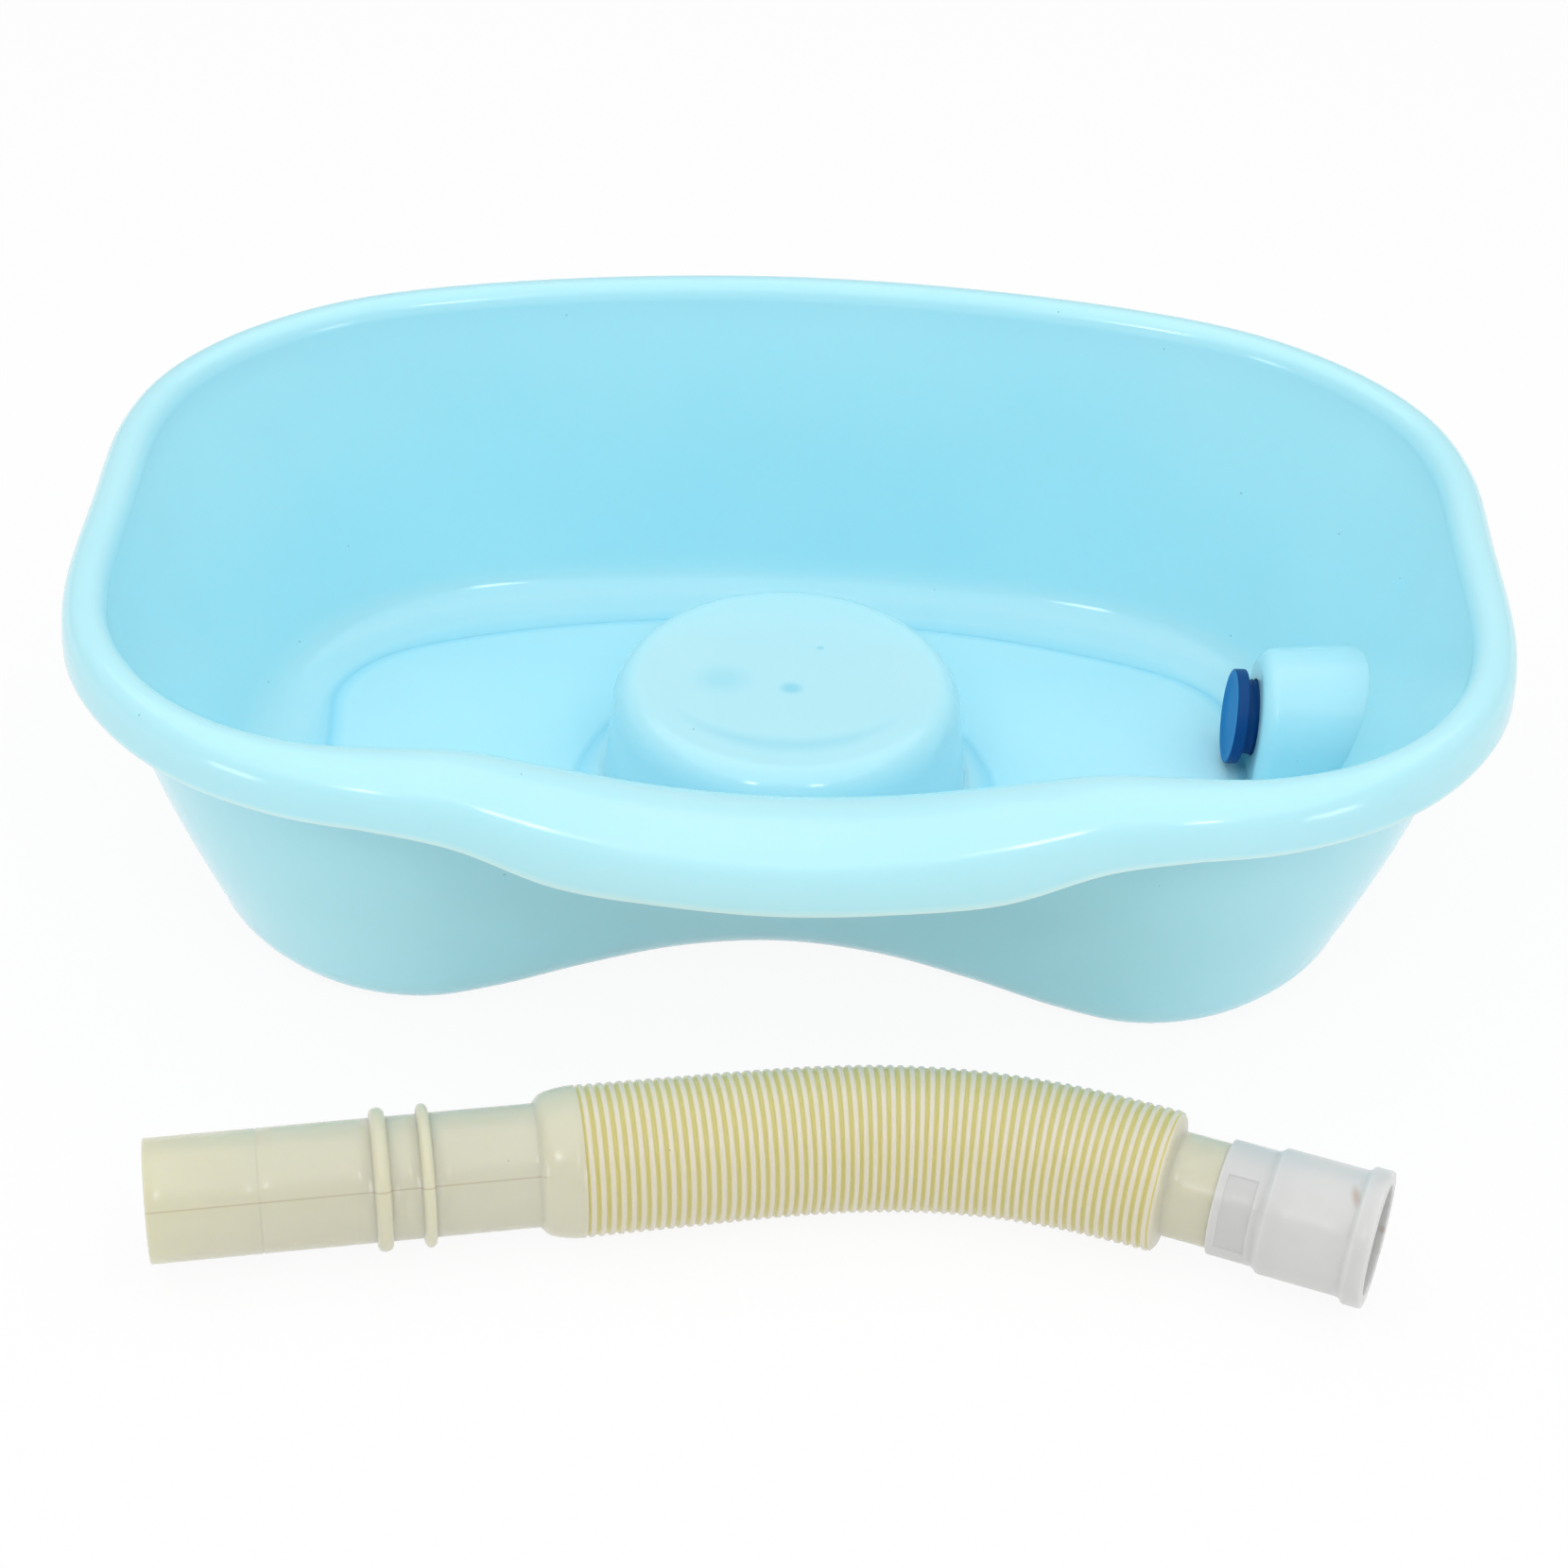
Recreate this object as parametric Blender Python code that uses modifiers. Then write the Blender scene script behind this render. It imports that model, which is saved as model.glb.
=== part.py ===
"""Portable shampoo basin with its drain plug, ribbed drain hose and hose adapter.

Metres, +Z up.  The basin stands on its base at z = 0, its long side along X, and the
neck recess of the rim faces -Y.  The origin is under the middle of the rim's outline.
The drain hose lies on the same surface in front of the basin, as it comes in the box.
"""
import math

import bmesh
import bpy
from mathutils import Vector

# Basin, driving sizes
RIM_LENGTH = 0.500
RIM_WIDTH = 0.350
RIM_HEIGHT = 0.130
END_LEAN = 0.048
SIDE_LEAN = 0.0365
BASE_LENGTH = RIM_LENGTH - 2 * END_LEAN
BASE_WIDTH = RIM_WIDTH - 2 * SIDE_LEAN
WALL = 0.0024
WALL_BOW = 0.0042
BASE_FILLET = 0.016

# Rolled flange: it is narrow round the ends and the back, broad and low at the neck
FLANGE_WIDTH = 0.016
FLANGE_WIDENING = 0.027
FLANGE_DROP = 0.018
NECK_CREST_DIP = 0.022
NECK_LIP_DIP = 0.027

# Floor: a raised field inside a step
FLOOR_STEP_INSET = 0.0175
FLOOR_STEP_FURTHER = 0.0105
FLOOR_STEP_WIDTH = 0.004
FLOOR_STEP_HEIGHT = 0.0012

# Headrest boss
BOSS_HEIGHT = 0.0461
BOSS_TOP_RADIUS = 0.065
BOSS_FOOT_RADIUS = 0.068
BOSS_EDGE_WIDTH = 0.011
BOSS_EDGE_HEIGHT = 0.013
BOSS_ROOT_RADIUS = 0.003
BOSS_Y = 0.0105

# Outlet: an arched housing at the +X end, open below and to the end wall, with a spigot
OUTLET_Y = 0.031
OUTLET_HEIGHT = 0.024
HOUSING_DEPTH = 0.025
HOUSING_RADIUS = 0.026
HOUSING_EDGE_RADIUS = 0.006
DRAIN_RADIUS = 0.0147
SPIGOT_WALL = 0.003
SPIGOT_LENGTH = 0.022

# Rubber drain plug, pushed part of the way into the drain hole
FIT_GAP = 0.0003
PLUG_FLANGE_RADIUS = 0.018
PLUG_FLANGE_THICKNESS = 0.0045
PLUG_RIM_WIDTH = 0.0012
PLUG_DISH_DEPTH = 0.0012
PLUG_DISH_SLOPE_SHARES = (0.6, 0.8)
PLUG_STEM_LENGTH = 0.014
PLUG_RIB_HEIGHT = 0.0004
PLUG_RIBS = 3
PLUG_BORE_RADIUS = 0.0095
PLUG_BORE_DEPTH = 0.011
PLUG_STAND_OFF = 0.004

# Drain hose: open cuff, two beads, ribbed stretch, plain cuff in the adapter
CUFF_RADIUS = 0.01975
CUFF_LENGTH = 0.122
CUFF_WALL = 0.0014
BEAD_HEIGHT = 0.0031
BEAD_WIDTH = 0.005
BEAD_SIDE_SHARE = 0.8
BEAD_PLACES = (0.0731, 0.0874)
SHOULDER_LENGTH = 0.0105
SHOULDER_BAND = 0.004
CREST_RADIUS = 0.0244
CREST_END_RADIUS = 0.0230
RIB_COUNT = 60
RIB_DEPTH = 0.0015
RIB_WALL = 0.0012
TAIL_RADIUS = 0.0171
TAIL_LENGTH = 0.0375
TAIL_SHOULDER = 0.003
HOSE_FLOOR_GAP = 0.0004

# Hose adapter: pushed on the tail cuff, its flared end fits over the spigot
ADAPTER_INSERT = 0.022
ADAPTER_COLLAR_WALL = 0.0014
ADAPTER_COLLAR_LENGTH = 0.015
ADAPTER_BARREL_RADIUS = 0.0205
ADAPTER_STEP_LENGTH = 0.002
ADAPTER_FLARE_HEIGHT = 0.0017
ADAPTER_FLARE_LENGTH = 0.006
ADAPTER_STOP_THICKNESS = 0.0025
ADAPTER_SOCKET_DEPTH = 0.0263

# The hose's route on the floor, seen from above, in metres
HOSE_ROUTE = ((-0.1945, -0.2530), (-0.1356, -0.2417), (-0.0747, -0.2301), (-0.0472, -0.2248),
              (-0.0226, -0.2201), (-0.0030, -0.2164), (0.0168, -0.2133), (0.0367, -0.2115),
              (0.0567, -0.2115), (0.0766, -0.2135), (0.0962, -0.2173), (0.1154, -0.2228),
              (0.1344, -0.2292), (0.1485, -0.2342), (0.1644, -0.2399))

# Half outlines from the front centre round the +X end to the back centre.
# The rim's are shares of half its length and width, the base's of half the base's.
RIM_OUTLINE_SHARES = ((0.0, -1.0), (0.144, -1.0), (0.288, -1.0), (0.416, -0.997),
                      (0.536, -0.986), (0.658, -0.947), (0.780, -0.861), (0.885, -0.724),
                      (0.962, -0.543), (0.996, -0.332), (0.999, -0.014), (0.995, 0.272),
                      (0.945, 0.500), (0.825, 0.704), (0.642, 0.856), (0.340, 0.960), (0.0, 1.0))
BASE_OUTLINE_SHARES = ((0.0, -0.645), (0.170, -0.682), (0.328, -0.772), (0.470, -0.869),
                       (0.600, -0.925), (0.730, -0.899), (0.846, -0.798), (0.930, -0.653),
                       (0.977, -0.470), (0.996, -0.270), (1.0, -0.022), (0.993, 0.231),
                       (0.955, 0.469), (0.856, 0.693), (0.663, 0.870), (0.347, 0.971), (0.0, 1.0))
# At the same places: how far the crest and the lip dip, the flange widens, the floor's step
# moves in and the wall bows out
CREST_DIP_SHARES = (1.0, 0.88, 0.50, 0.08) + (0.0,) * 13
LIP_DIP_SHARES = (1.0, 0.91, 0.69, 0.19) + (0.0,) * 13
WIDENING_SHARES = (1.0, 0.97, 0.85, 0.60, 0.40, 0.22, 0.08) + (0.0,) * 10
STEP_INSET_SHARES = (0.40, 0.40, 0.38, 0.34, 0.28, 0.22, 0.16, 0.30, 0.68, 0.96, 1.0, 0.66, 0.04,
                     0.20, 0.68, 0.50, 0.40)
BOW_SHARES = (0.0,) * 4 + (0.10, 0.38, 0.66, 0.88, 1.0, 0.96, 0.62, 0.26, 0.06) + (0.0,) * 4
# The flange's section: share of its width outwards from the wall, share of its drop
FLANGE_SECTION_SHARES = ((0.0, 0.50), (0.03, 0.28), (0.14, 0.10), (0.32, 0.0), (0.52, 0.0),
                         (0.72, 0.07), (0.88, 0.24), (0.965, 0.50), (1.0, 1.0))
FILLET_SHARES = (0.0, 0.25, 0.5, 0.75, 1.0)
WALL_RING_SHARES = (0.35, 0.7, 1.0)
# Outlet housing: its face leans back and its arch widens towards the end wall
HOUSING_LEAN_SHARE = 0.035
HOUSING_TAPER_SHARE = 0.075

# Fineness of the meshes
HALF_STEPS = 40
TURN_STEPS = 48
ARCH_STEPS = 20
EDGE_SEGMENTS = 3
BOSS_EDGE_STEPS = 3
ROUTE_STEPS = 200
HOSE_BEVEL_RESOLUTION = 6
CURVE_STEP = 0.012
OVERRUN = 0.010
MERGE = 0.00001
SHARP_ANGLE = math.radians(35)

COLLECTION_NAME = "portable_shampoo_basin"
CUTTER_COLLECTION_NAME = "basin_cutters"


def clear_scene():
    for obj in list(bpy.data.objects):
        bpy.data.objects.remove(obj, do_unlink=True)


def make_collection(name):
    collection = bpy.data.collections.new(name)
    bpy.context.scene.collection.children.link(collection)
    return collection


def make_material(name, colour, roughness, metallic=0.0):
    material = bpy.data.materials.new(name)
    material.use_nodes = True
    shader = material.node_tree.nodes["Principled BSDF"]
    shader.inputs["Base Color"].default_value = (*colour, 1.0)
    shader.inputs["Roughness"].default_value = roughness
    shader.inputs["Metallic"].default_value = metallic
    return material


def place_object(name, data, collection, material=None):
    obj = bpy.data.objects.new(name, data)
    collection.objects.link(obj)
    if material is not None:
        data.materials.append(material)
    return obj


def as_cutter(obj):
    obj.hide_render = True
    obj.display_type = "WIRE"
    return obj


def shade(mesh):
    mesh.shade_smooth()
    mesh.set_sharp_from_angle(angle=SHARP_ANGLE)


def boolean(obj, operation, other):
    modifier = obj.modifiers.new(f"{operation.lower()} {other.name}", "BOOLEAN")
    modifier.operation = operation
    modifier.solver = "EXACT"
    modifier.object = other


def soften(obj, radius):
    edge = obj.modifiers.new("soft edge", "BEVEL")
    edge.width = radius
    edge.segments = EDGE_SEGMENTS
    edge.use_clamp_overlap = False


def smooth_samples(rows, steps):
    """Points of a smooth curve through the rows; the first and last row only steer it."""
    spans = len(rows) - 3
    samples = []
    for step in range(steps + 1):
        place = step * spans / steps
        index = min(int(place), spans - 1)
        t = place - index
        a, b, c, d = rows[index:index + 4]
        samples.append(0.5 * (2 * b + (c - a) * t + (2 * a - 5 * b + 4 * c - d) * t ** 2
                              + (3 * b - a - 3 * c + d) * t ** 3))
    return samples


def share_samples(shares):
    rows = [Vector((share, 0.0)) for share in (shares[1], *shares, shares[-2])]
    return [max(0.0, sample.x) for sample in smooth_samples(rows, HALF_STEPS)]


def outline_samples(shares, length, width):
    """Half outline that meets the plane x = 0 squarely at both ends."""
    rows = [Vector((x * length / 2, y * width / 2)) for x, y in shares]
    before = Vector((-rows[1].x, rows[1].y))
    after = Vector((-rows[-2].x, rows[-2].y))
    return smooth_samples([before, *rows, after], HALF_STEPS)


def outward_normals(outline):
    """Unit normals of a half outline, pointing away from the middle."""
    ghost = [Vector((-outline[1].x, outline[1].y))] + outline + [Vector((-outline[-2].x, outline[-2].y))]
    normals = []
    for before, after in zip(ghost[:-2], ghost[2:]):
        run = (after - before).normalized()
        normals.append(Vector((run.y, -run.x)))
    return normals


def inset_ring(outline, normals, insets, height):
    return [Vector((*(point - inset * normal), height))
            for point, normal, inset in zip(outline, normals, insets)]


def boss_ring(radius, height):
    ring = []
    for step in range(HALF_STEPS + 1):
        angle = math.pi * (step / HALF_STEPS - 0.5)
        ring.append(Vector((radius * math.cos(angle), BOSS_Y + radius * math.sin(angle), height)))
    return ring


def wall_rings(grow):
    """Floor fillet and wall, up to the flange; grow moves them outwards and down."""
    rim = outline_samples(RIM_OUTLINE_SHARES, RIM_LENGTH, RIM_WIDTH)
    rim_normals = outward_normals(rim)
    base = outline_samples(BASE_OUTLINE_SHARES, BASE_LENGTH, BASE_WIDTH)
    base_normals = outward_normals(base)
    floor = WALL - grow
    foot = inset_ring(base, base_normals, [BASE_FILLET] * len(base), floor)
    bows = share_samples(BOW_SHARES)
    rings = [[] for _ in FILLET_SHARES + WALL_RING_SHARES]
    for index, (width, crest, drop) in enumerate(flange_sizes()):
        outset = grow * rim_normals[index]
        top = Vector((*(rim[index] - width * rim_normals[index] + outset),
                      crest - drop * FLANGE_SECTION_SHARES[0][1]))
        corner = Vector((*(base[index] + grow * base_normals[index]), floor))
        start = foot[index]
        end = corner + BASE_FILLET * (top - corner).normalized()
        for ring, t in zip(rings, FILLET_SHARES):
            ring.append((1 - t) ** 2 * start + 2 * t * (1 - t) * corner + t ** 2 * end)
        bow = Vector((*(WALL_BOW * bows[index] * base_normals[index]), 0.0))
        for ring, t in zip(rings[len(FILLET_SHARES):], WALL_RING_SHARES):
            ring.append(end.lerp(top, t) + math.sin(math.pi * t) * bow)
    return rings


def flange_sizes():
    """Width, crest height and drop of the flange at each step of the half outline."""
    sizes = []
    for widening, crest_dip, lip_dip in zip(share_samples(WIDENING_SHARES),
                                            share_samples(CREST_DIP_SHARES),
                                            share_samples(LIP_DIP_SHARES)):
        crest = RIM_HEIGHT - NECK_CREST_DIP * crest_dip
        lip = RIM_HEIGHT - FLANGE_DROP - NECK_LIP_DIP * lip_dip
        sizes.append((FLANGE_WIDTH + FLANGE_WIDENING * widening, crest, crest - lip))
    return sizes


def flange_rings():
    rim = outline_samples(RIM_OUTLINE_SHARES, RIM_LENGTH, RIM_WIDTH)
    normals = outward_normals(rim)
    sizes = flange_sizes()
    rings = []
    for width_share, drop_share in FLANGE_SECTION_SHARES[1:]:
        ring = []
        for point, normal, (width, crest, drop) in zip(rim, normals, sizes):
            place = point - (1 - width_share) * width * normal
            ring.append(Vector((*place, crest - drop * drop_share)))
        rings.append(ring)
    return rings


def floor_rings():
    """Boss and the raised field round it, from the boss's edge outwards."""
    field = WALL + FLOOR_STEP_HEIGHT
    top = WALL + BOSS_HEIGHT
    rooted = BOSS_ROOT_RADIUS * (1 - math.sqrt(0.5))
    base = outline_samples(BASE_OUTLINE_SHARES, BASE_LENGTH, BASE_WIDTH)
    normals = outward_normals(base)
    insets = [FLOOR_STEP_INSET + FLOOR_STEP_FURTHER * share
              for share in share_samples(STEP_INSET_SHARES)]
    rings = []
    for step in range(BOSS_EDGE_STEPS + 1):
        turn = math.pi / 2 * step / BOSS_EDGE_STEPS
        rings.append(boss_ring(BOSS_TOP_RADIUS - BOSS_EDGE_WIDTH * (1 - math.sin(turn)),
                               top - BOSS_EDGE_HEIGHT * (1 - math.cos(turn))))
    return rings + [
        boss_ring(BOSS_FOOT_RADIUS, field + BOSS_ROOT_RADIUS),
        boss_ring(BOSS_FOOT_RADIUS + rooted, field + rooted),
        boss_ring(BOSS_FOOT_RADIUS + BOSS_ROOT_RADIUS, field),
        inset_ring(base, normals, [inset + FLOOR_STEP_WIDTH for inset in insets], field),
        inset_ring(base, normals, insets, WALL),
    ]


def loft_half(name, rings, collection, material=None, start=None, end=None):
    """Skin of the +X half, ring by ring, with Mirror for the other half."""
    mesh = bmesh.new()
    rows = [[mesh.verts.new(point) for point in ring] for ring in rings]
    for inner, outer in zip(rows[:-1], rows[1:]):
        for step in range(len(inner) - 1):
            mesh.faces.new((inner[step], outer[step], outer[step + 1], inner[step + 1]))
    if start is not None:
        middle = mesh.verts.new(start)
        for before, after in zip(rows[0][:-1], rows[0][1:]):
            mesh.faces.new((middle, before, after))
    if end is not None:
        middle = mesh.verts.new(end)
        for before, after in zip(rows[-1][:-1], rows[-1][1:]):
            mesh.faces.new((middle, after, before))
    data = bpy.data.meshes.new(name)
    mesh.to_mesh(data)
    mesh.free()
    shade(data)
    obj = place_object(name, data, collection, material)
    mirror = obj.modifiers.new("mirror", "MIRROR")
    mirror.use_axis = (True, False, False)
    mirror.use_mirror_merge = True
    mirror.merge_threshold = MERGE
    return obj


def cylinder_x(name, radius, start, end, y, z, collection):
    bpy.ops.mesh.primitive_cylinder_add(vertices=TURN_STEPS, radius=radius, depth=end - start,
                                        location=((start + end) / 2, y, z),
                                        rotation=(0.0, math.pi / 2, 0.0))
    obj = bpy.context.object
    obj.name = name
    for owner in list(obj.users_collection):
        owner.objects.unlink(obj)
    collection.objects.link(obj)
    return as_cutter(obj)


def curve_to_mesh(obj, material=None):
    """The evaluated curve as a closed mesh object in the curve's place."""
    graph = bpy.context.evaluated_depsgraph_get()
    data = bpy.data.meshes.new_from_object(obj.evaluated_get(graph))
    mesh = bmesh.new()
    mesh.from_mesh(data)
    bmesh.ops.remove_doubles(mesh, verts=mesh.verts, dist=MERGE)
    bmesh.ops.recalc_face_normals(mesh, faces=mesh.faces)
    mesh.to_mesh(data)
    mesh.free()
    name = obj.name
    collection = obj.users_collection[0]
    place = obj.matrix_world.copy()
    curve = obj.data
    bpy.data.objects.remove(obj)
    bpy.data.curves.remove(curve)
    data.name = name
    if material is not None:
        data.materials.clear()
        data.materials.append(material)
    shade(data)
    made = bpy.data.objects.new(name, data)
    collection.objects.link(made)
    made.matrix_world = place
    return made


def arch_block(name, inset, start, end, bottom, collection):
    """Arched block along X inside the housing's skin, round on top, straight-sided to bottom."""
    mesh = bmesh.new()
    rings = []
    for place in (start, end):
        radius = HOUSING_RADIUS - inset + HOUSING_TAPER_SHARE * (place - start)
        lean = HOUSING_LEAN_SHARE if place == start else 0.0
        turns = [math.pi * step / ARCH_STEPS for step in range(ARCH_STEPS + 1)]
        section = [(radius, bottom - OUTLET_HEIGHT)]
        section += [(radius * math.cos(turn), radius * math.sin(turn)) for turn in turns]
        section += [(-radius, bottom - OUTLET_HEIGHT)]
        rings.append([mesh.verts.new((place + lean * up, OUTLET_Y + across, OUTLET_HEIGHT + up))
                      for across, up in section])
    near, far = rings
    mesh.faces.new(near)
    mesh.faces.new(far)
    for index in range(len(near)):
        following = (index + 1) % len(near)
        mesh.faces.new((near[index], near[following], far[following], far[index]))
    bmesh.ops.recalc_face_normals(mesh, faces=mesh.faces)
    data = bpy.data.meshes.new(name)
    mesh.to_mesh(data)
    mesh.free()
    return as_cutter(place_object(name, data, collection))


def housing_face():
    """X of the outlet housing's inner end face."""
    return BASE_LENGTH / 2 - HOUSING_DEPTH


def make_basin(parts, cutters, material):
    shell = loft_half("basin_shell", floor_rings() + wall_rings(0.0) + flange_rings(), parts, material,
                      start=(0.0, BOSS_Y, WALL + BOSS_HEIGHT))
    thickness = shell.modifiers.new("wall", "SOLIDIFY")
    thickness.thickness = WALL
    thickness.offset = -1.0
    thickness.use_even_offset = True

    middle = WALL / 2
    fill = as_cutter(loft_half("basin_inside", wall_rings(middle)[::-1], cutters,
                               start=(0.0, 0.0, RIM_HEIGHT / 2), end=(0.0, 0.0, middle)))
    face = housing_face()
    beyond = RIM_LENGTH / 2 + OVERRUN
    housing = arch_block("outlet_housing", 0.0, face, beyond, -OVERRUN, cutters)
    soften(housing, HOUSING_EDGE_RADIUS)
    boolean(housing, "INTERSECT", fill)
    pocket = arch_block("outlet_pocket", WALL, face + WALL, beyond, -OVERRUN, cutters)
    soften(pocket, HOUSING_EDGE_RADIUS - WALL)
    spigot_end = face + WALL + SPIGOT_LENGTH
    spigot = cylinder_x("outlet_spigot", DRAIN_RADIUS + SPIGOT_WALL, face + middle, spigot_end,
                        OUTLET_Y, OUTLET_HEIGHT, cutters)
    bore = cylinder_x("drain_bore", DRAIN_RADIUS, face - OVERRUN, spigot_end + OVERRUN,
                      OUTLET_Y, OUTLET_HEIGHT, cutters)
    boolean(shell, "UNION", housing)
    boolean(shell, "DIFFERENCE", pocket)
    boolean(shell, "UNION", spigot)
    boolean(shell, "DIFFERENCE", bore)
    return shell


def turned(name, profile, origin, heading, collection, material):
    """Screw of a closed profile of (radius, distance along the axis), axis level."""
    mesh = bmesh.new()
    points = [mesh.verts.new((radius, 0.0, along)) for radius, along in profile]
    for before, after in zip(points[:-1], points[1:]):
        mesh.edges.new((before, after))
    if profile[0][0] > 0.0:
        mesh.edges.new((points[-1], points[0]))
    data = bpy.data.meshes.new(name)
    mesh.to_mesh(data)
    mesh.free()
    obj = place_object(name, data, collection, material)
    obj.location = origin
    obj.rotation_euler = (0.0, math.pi / 2, heading)
    screw = obj.modifiers.new("turn", "SCREW")
    screw.axis = "Z"
    screw.steps = TURN_STEPS
    screw.render_steps = TURN_STEPS
    screw.use_merge_vertices = True
    screw.merge_threshold = MERGE
    screw.use_normal_calculate = True
    return obj


def make_plug(parts, material):
    """Flange with a dished face, ribbed stem, hollow from behind."""
    stem = DRAIN_RADIUS - FIT_GAP - PLUG_RIB_HEIGHT
    thick = PLUG_FLANGE_THICKNESS
    edge = PLUG_RIB_HEIGHT
    length = thick + PLUG_STEM_LENGTH
    across, deep = PLUG_DISH_SLOPE_SHARES
    profile = [(0.0, PLUG_DISH_DEPTH), (PLUG_FLANGE_RADIUS * across, PLUG_DISH_DEPTH * deep),
               (PLUG_FLANGE_RADIUS - PLUG_RIM_WIDTH, 0.0), (PLUG_FLANGE_RADIUS - edge, 0.0),
               (PLUG_FLANGE_RADIUS, edge), (PLUG_FLANGE_RADIUS, thick - edge),
               (PLUG_FLANGE_RADIUS - edge, thick), (stem, thick)]
    pitch = PLUG_STEM_LENGTH / (PLUG_RIBS + 1)
    for rib in range(PLUG_RIBS):
        crest = thick + (rib + 1) * pitch
        profile += [(stem, crest - pitch / 4), (stem + PLUG_RIB_HEIGHT, crest), (stem, crest + pitch / 4)]
    profile += [(stem - edge, length), (PLUG_BORE_RADIUS, length),
                (PLUG_BORE_RADIUS, length - PLUG_BORE_DEPTH), (0.0, length - PLUG_BORE_DEPTH)]
    lowest_face = housing_face() - HOUSING_LEAN_SHARE * PLUG_FLANGE_RADIUS
    back = lowest_face - PLUG_STAND_OFF
    origin = (back - thick, OUTLET_Y, OUTLET_HEIGHT)
    return turned("drain_plug", profile, origin, 0.0, parts, material)


def route_points():
    """Dense points along the hose's axis and the distance of each from the mouth."""
    height = CREST_RADIUS + HOSE_FLOOR_GAP
    rows = [Vector((*place, height)) for place in HOSE_ROUTE]
    before = 2 * rows[0] - rows[1]
    after = 2 * rows[-1] - rows[-2]
    points = smooth_samples([before, *rows, after], ROUTE_STEPS)
    distances = [0.0]
    for before, after in zip(points[:-1], points[1:]):
        distances.append(distances[-1] + (after - before).length)
    return points, distances


def on_route(points, distances, distance):
    """Point of the route at a distance from the mouth, also a little past its ends."""
    index = 0
    while index < len(points) - 2 and distances[index + 1] < distance:
        index += 1
    share = (distance - distances[index]) / (distances[index + 1] - distances[index])
    return points[index].lerp(points[index + 1], share)


def tube(name, stations, route, distances, collection):
    """Poly curve along the route whose radius follows (distance, radius) stations."""
    curve = bpy.data.curves.new(name, "CURVE")
    curve.dimensions = "3D"
    curve.bevel_depth = CREST_RADIUS
    curve.bevel_resolution = HOSE_BEVEL_RESOLUTION
    curve.use_fill_caps = True
    spline = curve.splines.new("POLY")
    spline.points.add(len(stations) - 1)
    for point, (distance, radius) in zip(spline.points, stations):
        point.co = (*on_route(route, distances, distance), 1.0)
        point.radius = radius / CREST_RADIUS
    obj = place_object(name, curve, collection)
    bpy.context.view_layer.update()
    return obj


def with_steps(stations):
    """The same stations with more of them where two lie far apart."""
    filled = [stations[0]]
    for (start, first), (end, second) in zip(stations[:-1], stations[1:]):
        count = max(1, math.ceil((end - start) / CURVE_STEP))
        for step in range(1, count + 1):
            share = step / count
            filled.append((start + (end - start) * share, first + (second - first) * share))
    return filled


def bead(place):
    half = BEAD_WIDTH / 2
    side = CUFF_RADIUS + BEAD_HEIGHT * BEAD_SIDE_SHARE
    return [(place - half, CUFF_RADIUS), (place - half / 2, side),
            (place, CUFF_RADIUS + BEAD_HEIGHT), (place + half / 2, side), (place + half, CUFF_RADIUS)]


def make_hose(parts, cutters, material):
    route, distances = route_points()
    length = distances[-1]
    ribs_start = CUFF_LENGTH + SHOULDER_LENGTH + SHOULDER_BAND
    ribs_end = length - TAIL_LENGTH - TAIL_SHOULDER
    pitch = (ribs_end - ribs_start) / RIB_COUNT

    def crest(distance):
        share = (distance - ribs_start) / (ribs_end - ribs_start)
        return CREST_RADIUS + (CREST_END_RADIUS - CREST_RADIUS) * share

    outside = [(0.0, CUFF_RADIUS)]
    for place in BEAD_PLACES:
        outside += bead(place)
    outside += [(CUFF_LENGTH, CUFF_RADIUS),
                (CUFF_LENGTH + SHOULDER_LENGTH / 4, (CUFF_RADIUS + CREST_RADIUS) / 2),
                (CUFF_LENGTH + SHOULDER_LENGTH / 2, CREST_RADIUS - RIB_DEPTH / 2),
                (CUFF_LENGTH + SHOULDER_LENGTH, CREST_RADIUS)]
    for rib in range(RIB_COUNT):
        valley = ribs_start + rib * pitch
        ridge = valley + pitch / 2
        outside += [(valley, crest(valley) - RIB_DEPTH), (ridge, crest(ridge))]
    outside += [(ribs_end, crest(ribs_end) - RIB_DEPTH / 2),
                (ribs_end + TAIL_SHOULDER, TAIL_RADIUS), (length, TAIL_RADIUS)]

    ribbed = RIB_DEPTH + RIB_WALL
    inside = [(-OVERRUN, CUFF_RADIUS - CUFF_WALL), (CUFF_LENGTH, CUFF_RADIUS - CUFF_WALL),
              (CUFF_LENGTH + SHOULDER_LENGTH, CREST_RADIUS - ribbed),
              (ribs_end - TAIL_SHOULDER, crest(ribs_end) - ribbed),
              (ribs_end, TAIL_RADIUS - CUFF_WALL), (length + OVERRUN, TAIL_RADIUS - CUFF_WALL)]
    hose = curve_to_mesh(tube("drain_hose", with_steps(outside), route, distances, parts), material)
    bore = curve_to_mesh(tube("hose_bore", with_steps(inside), route, distances, cutters))
    boolean(hose, "DIFFERENCE", as_cutter(bore))
    return hose


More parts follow.
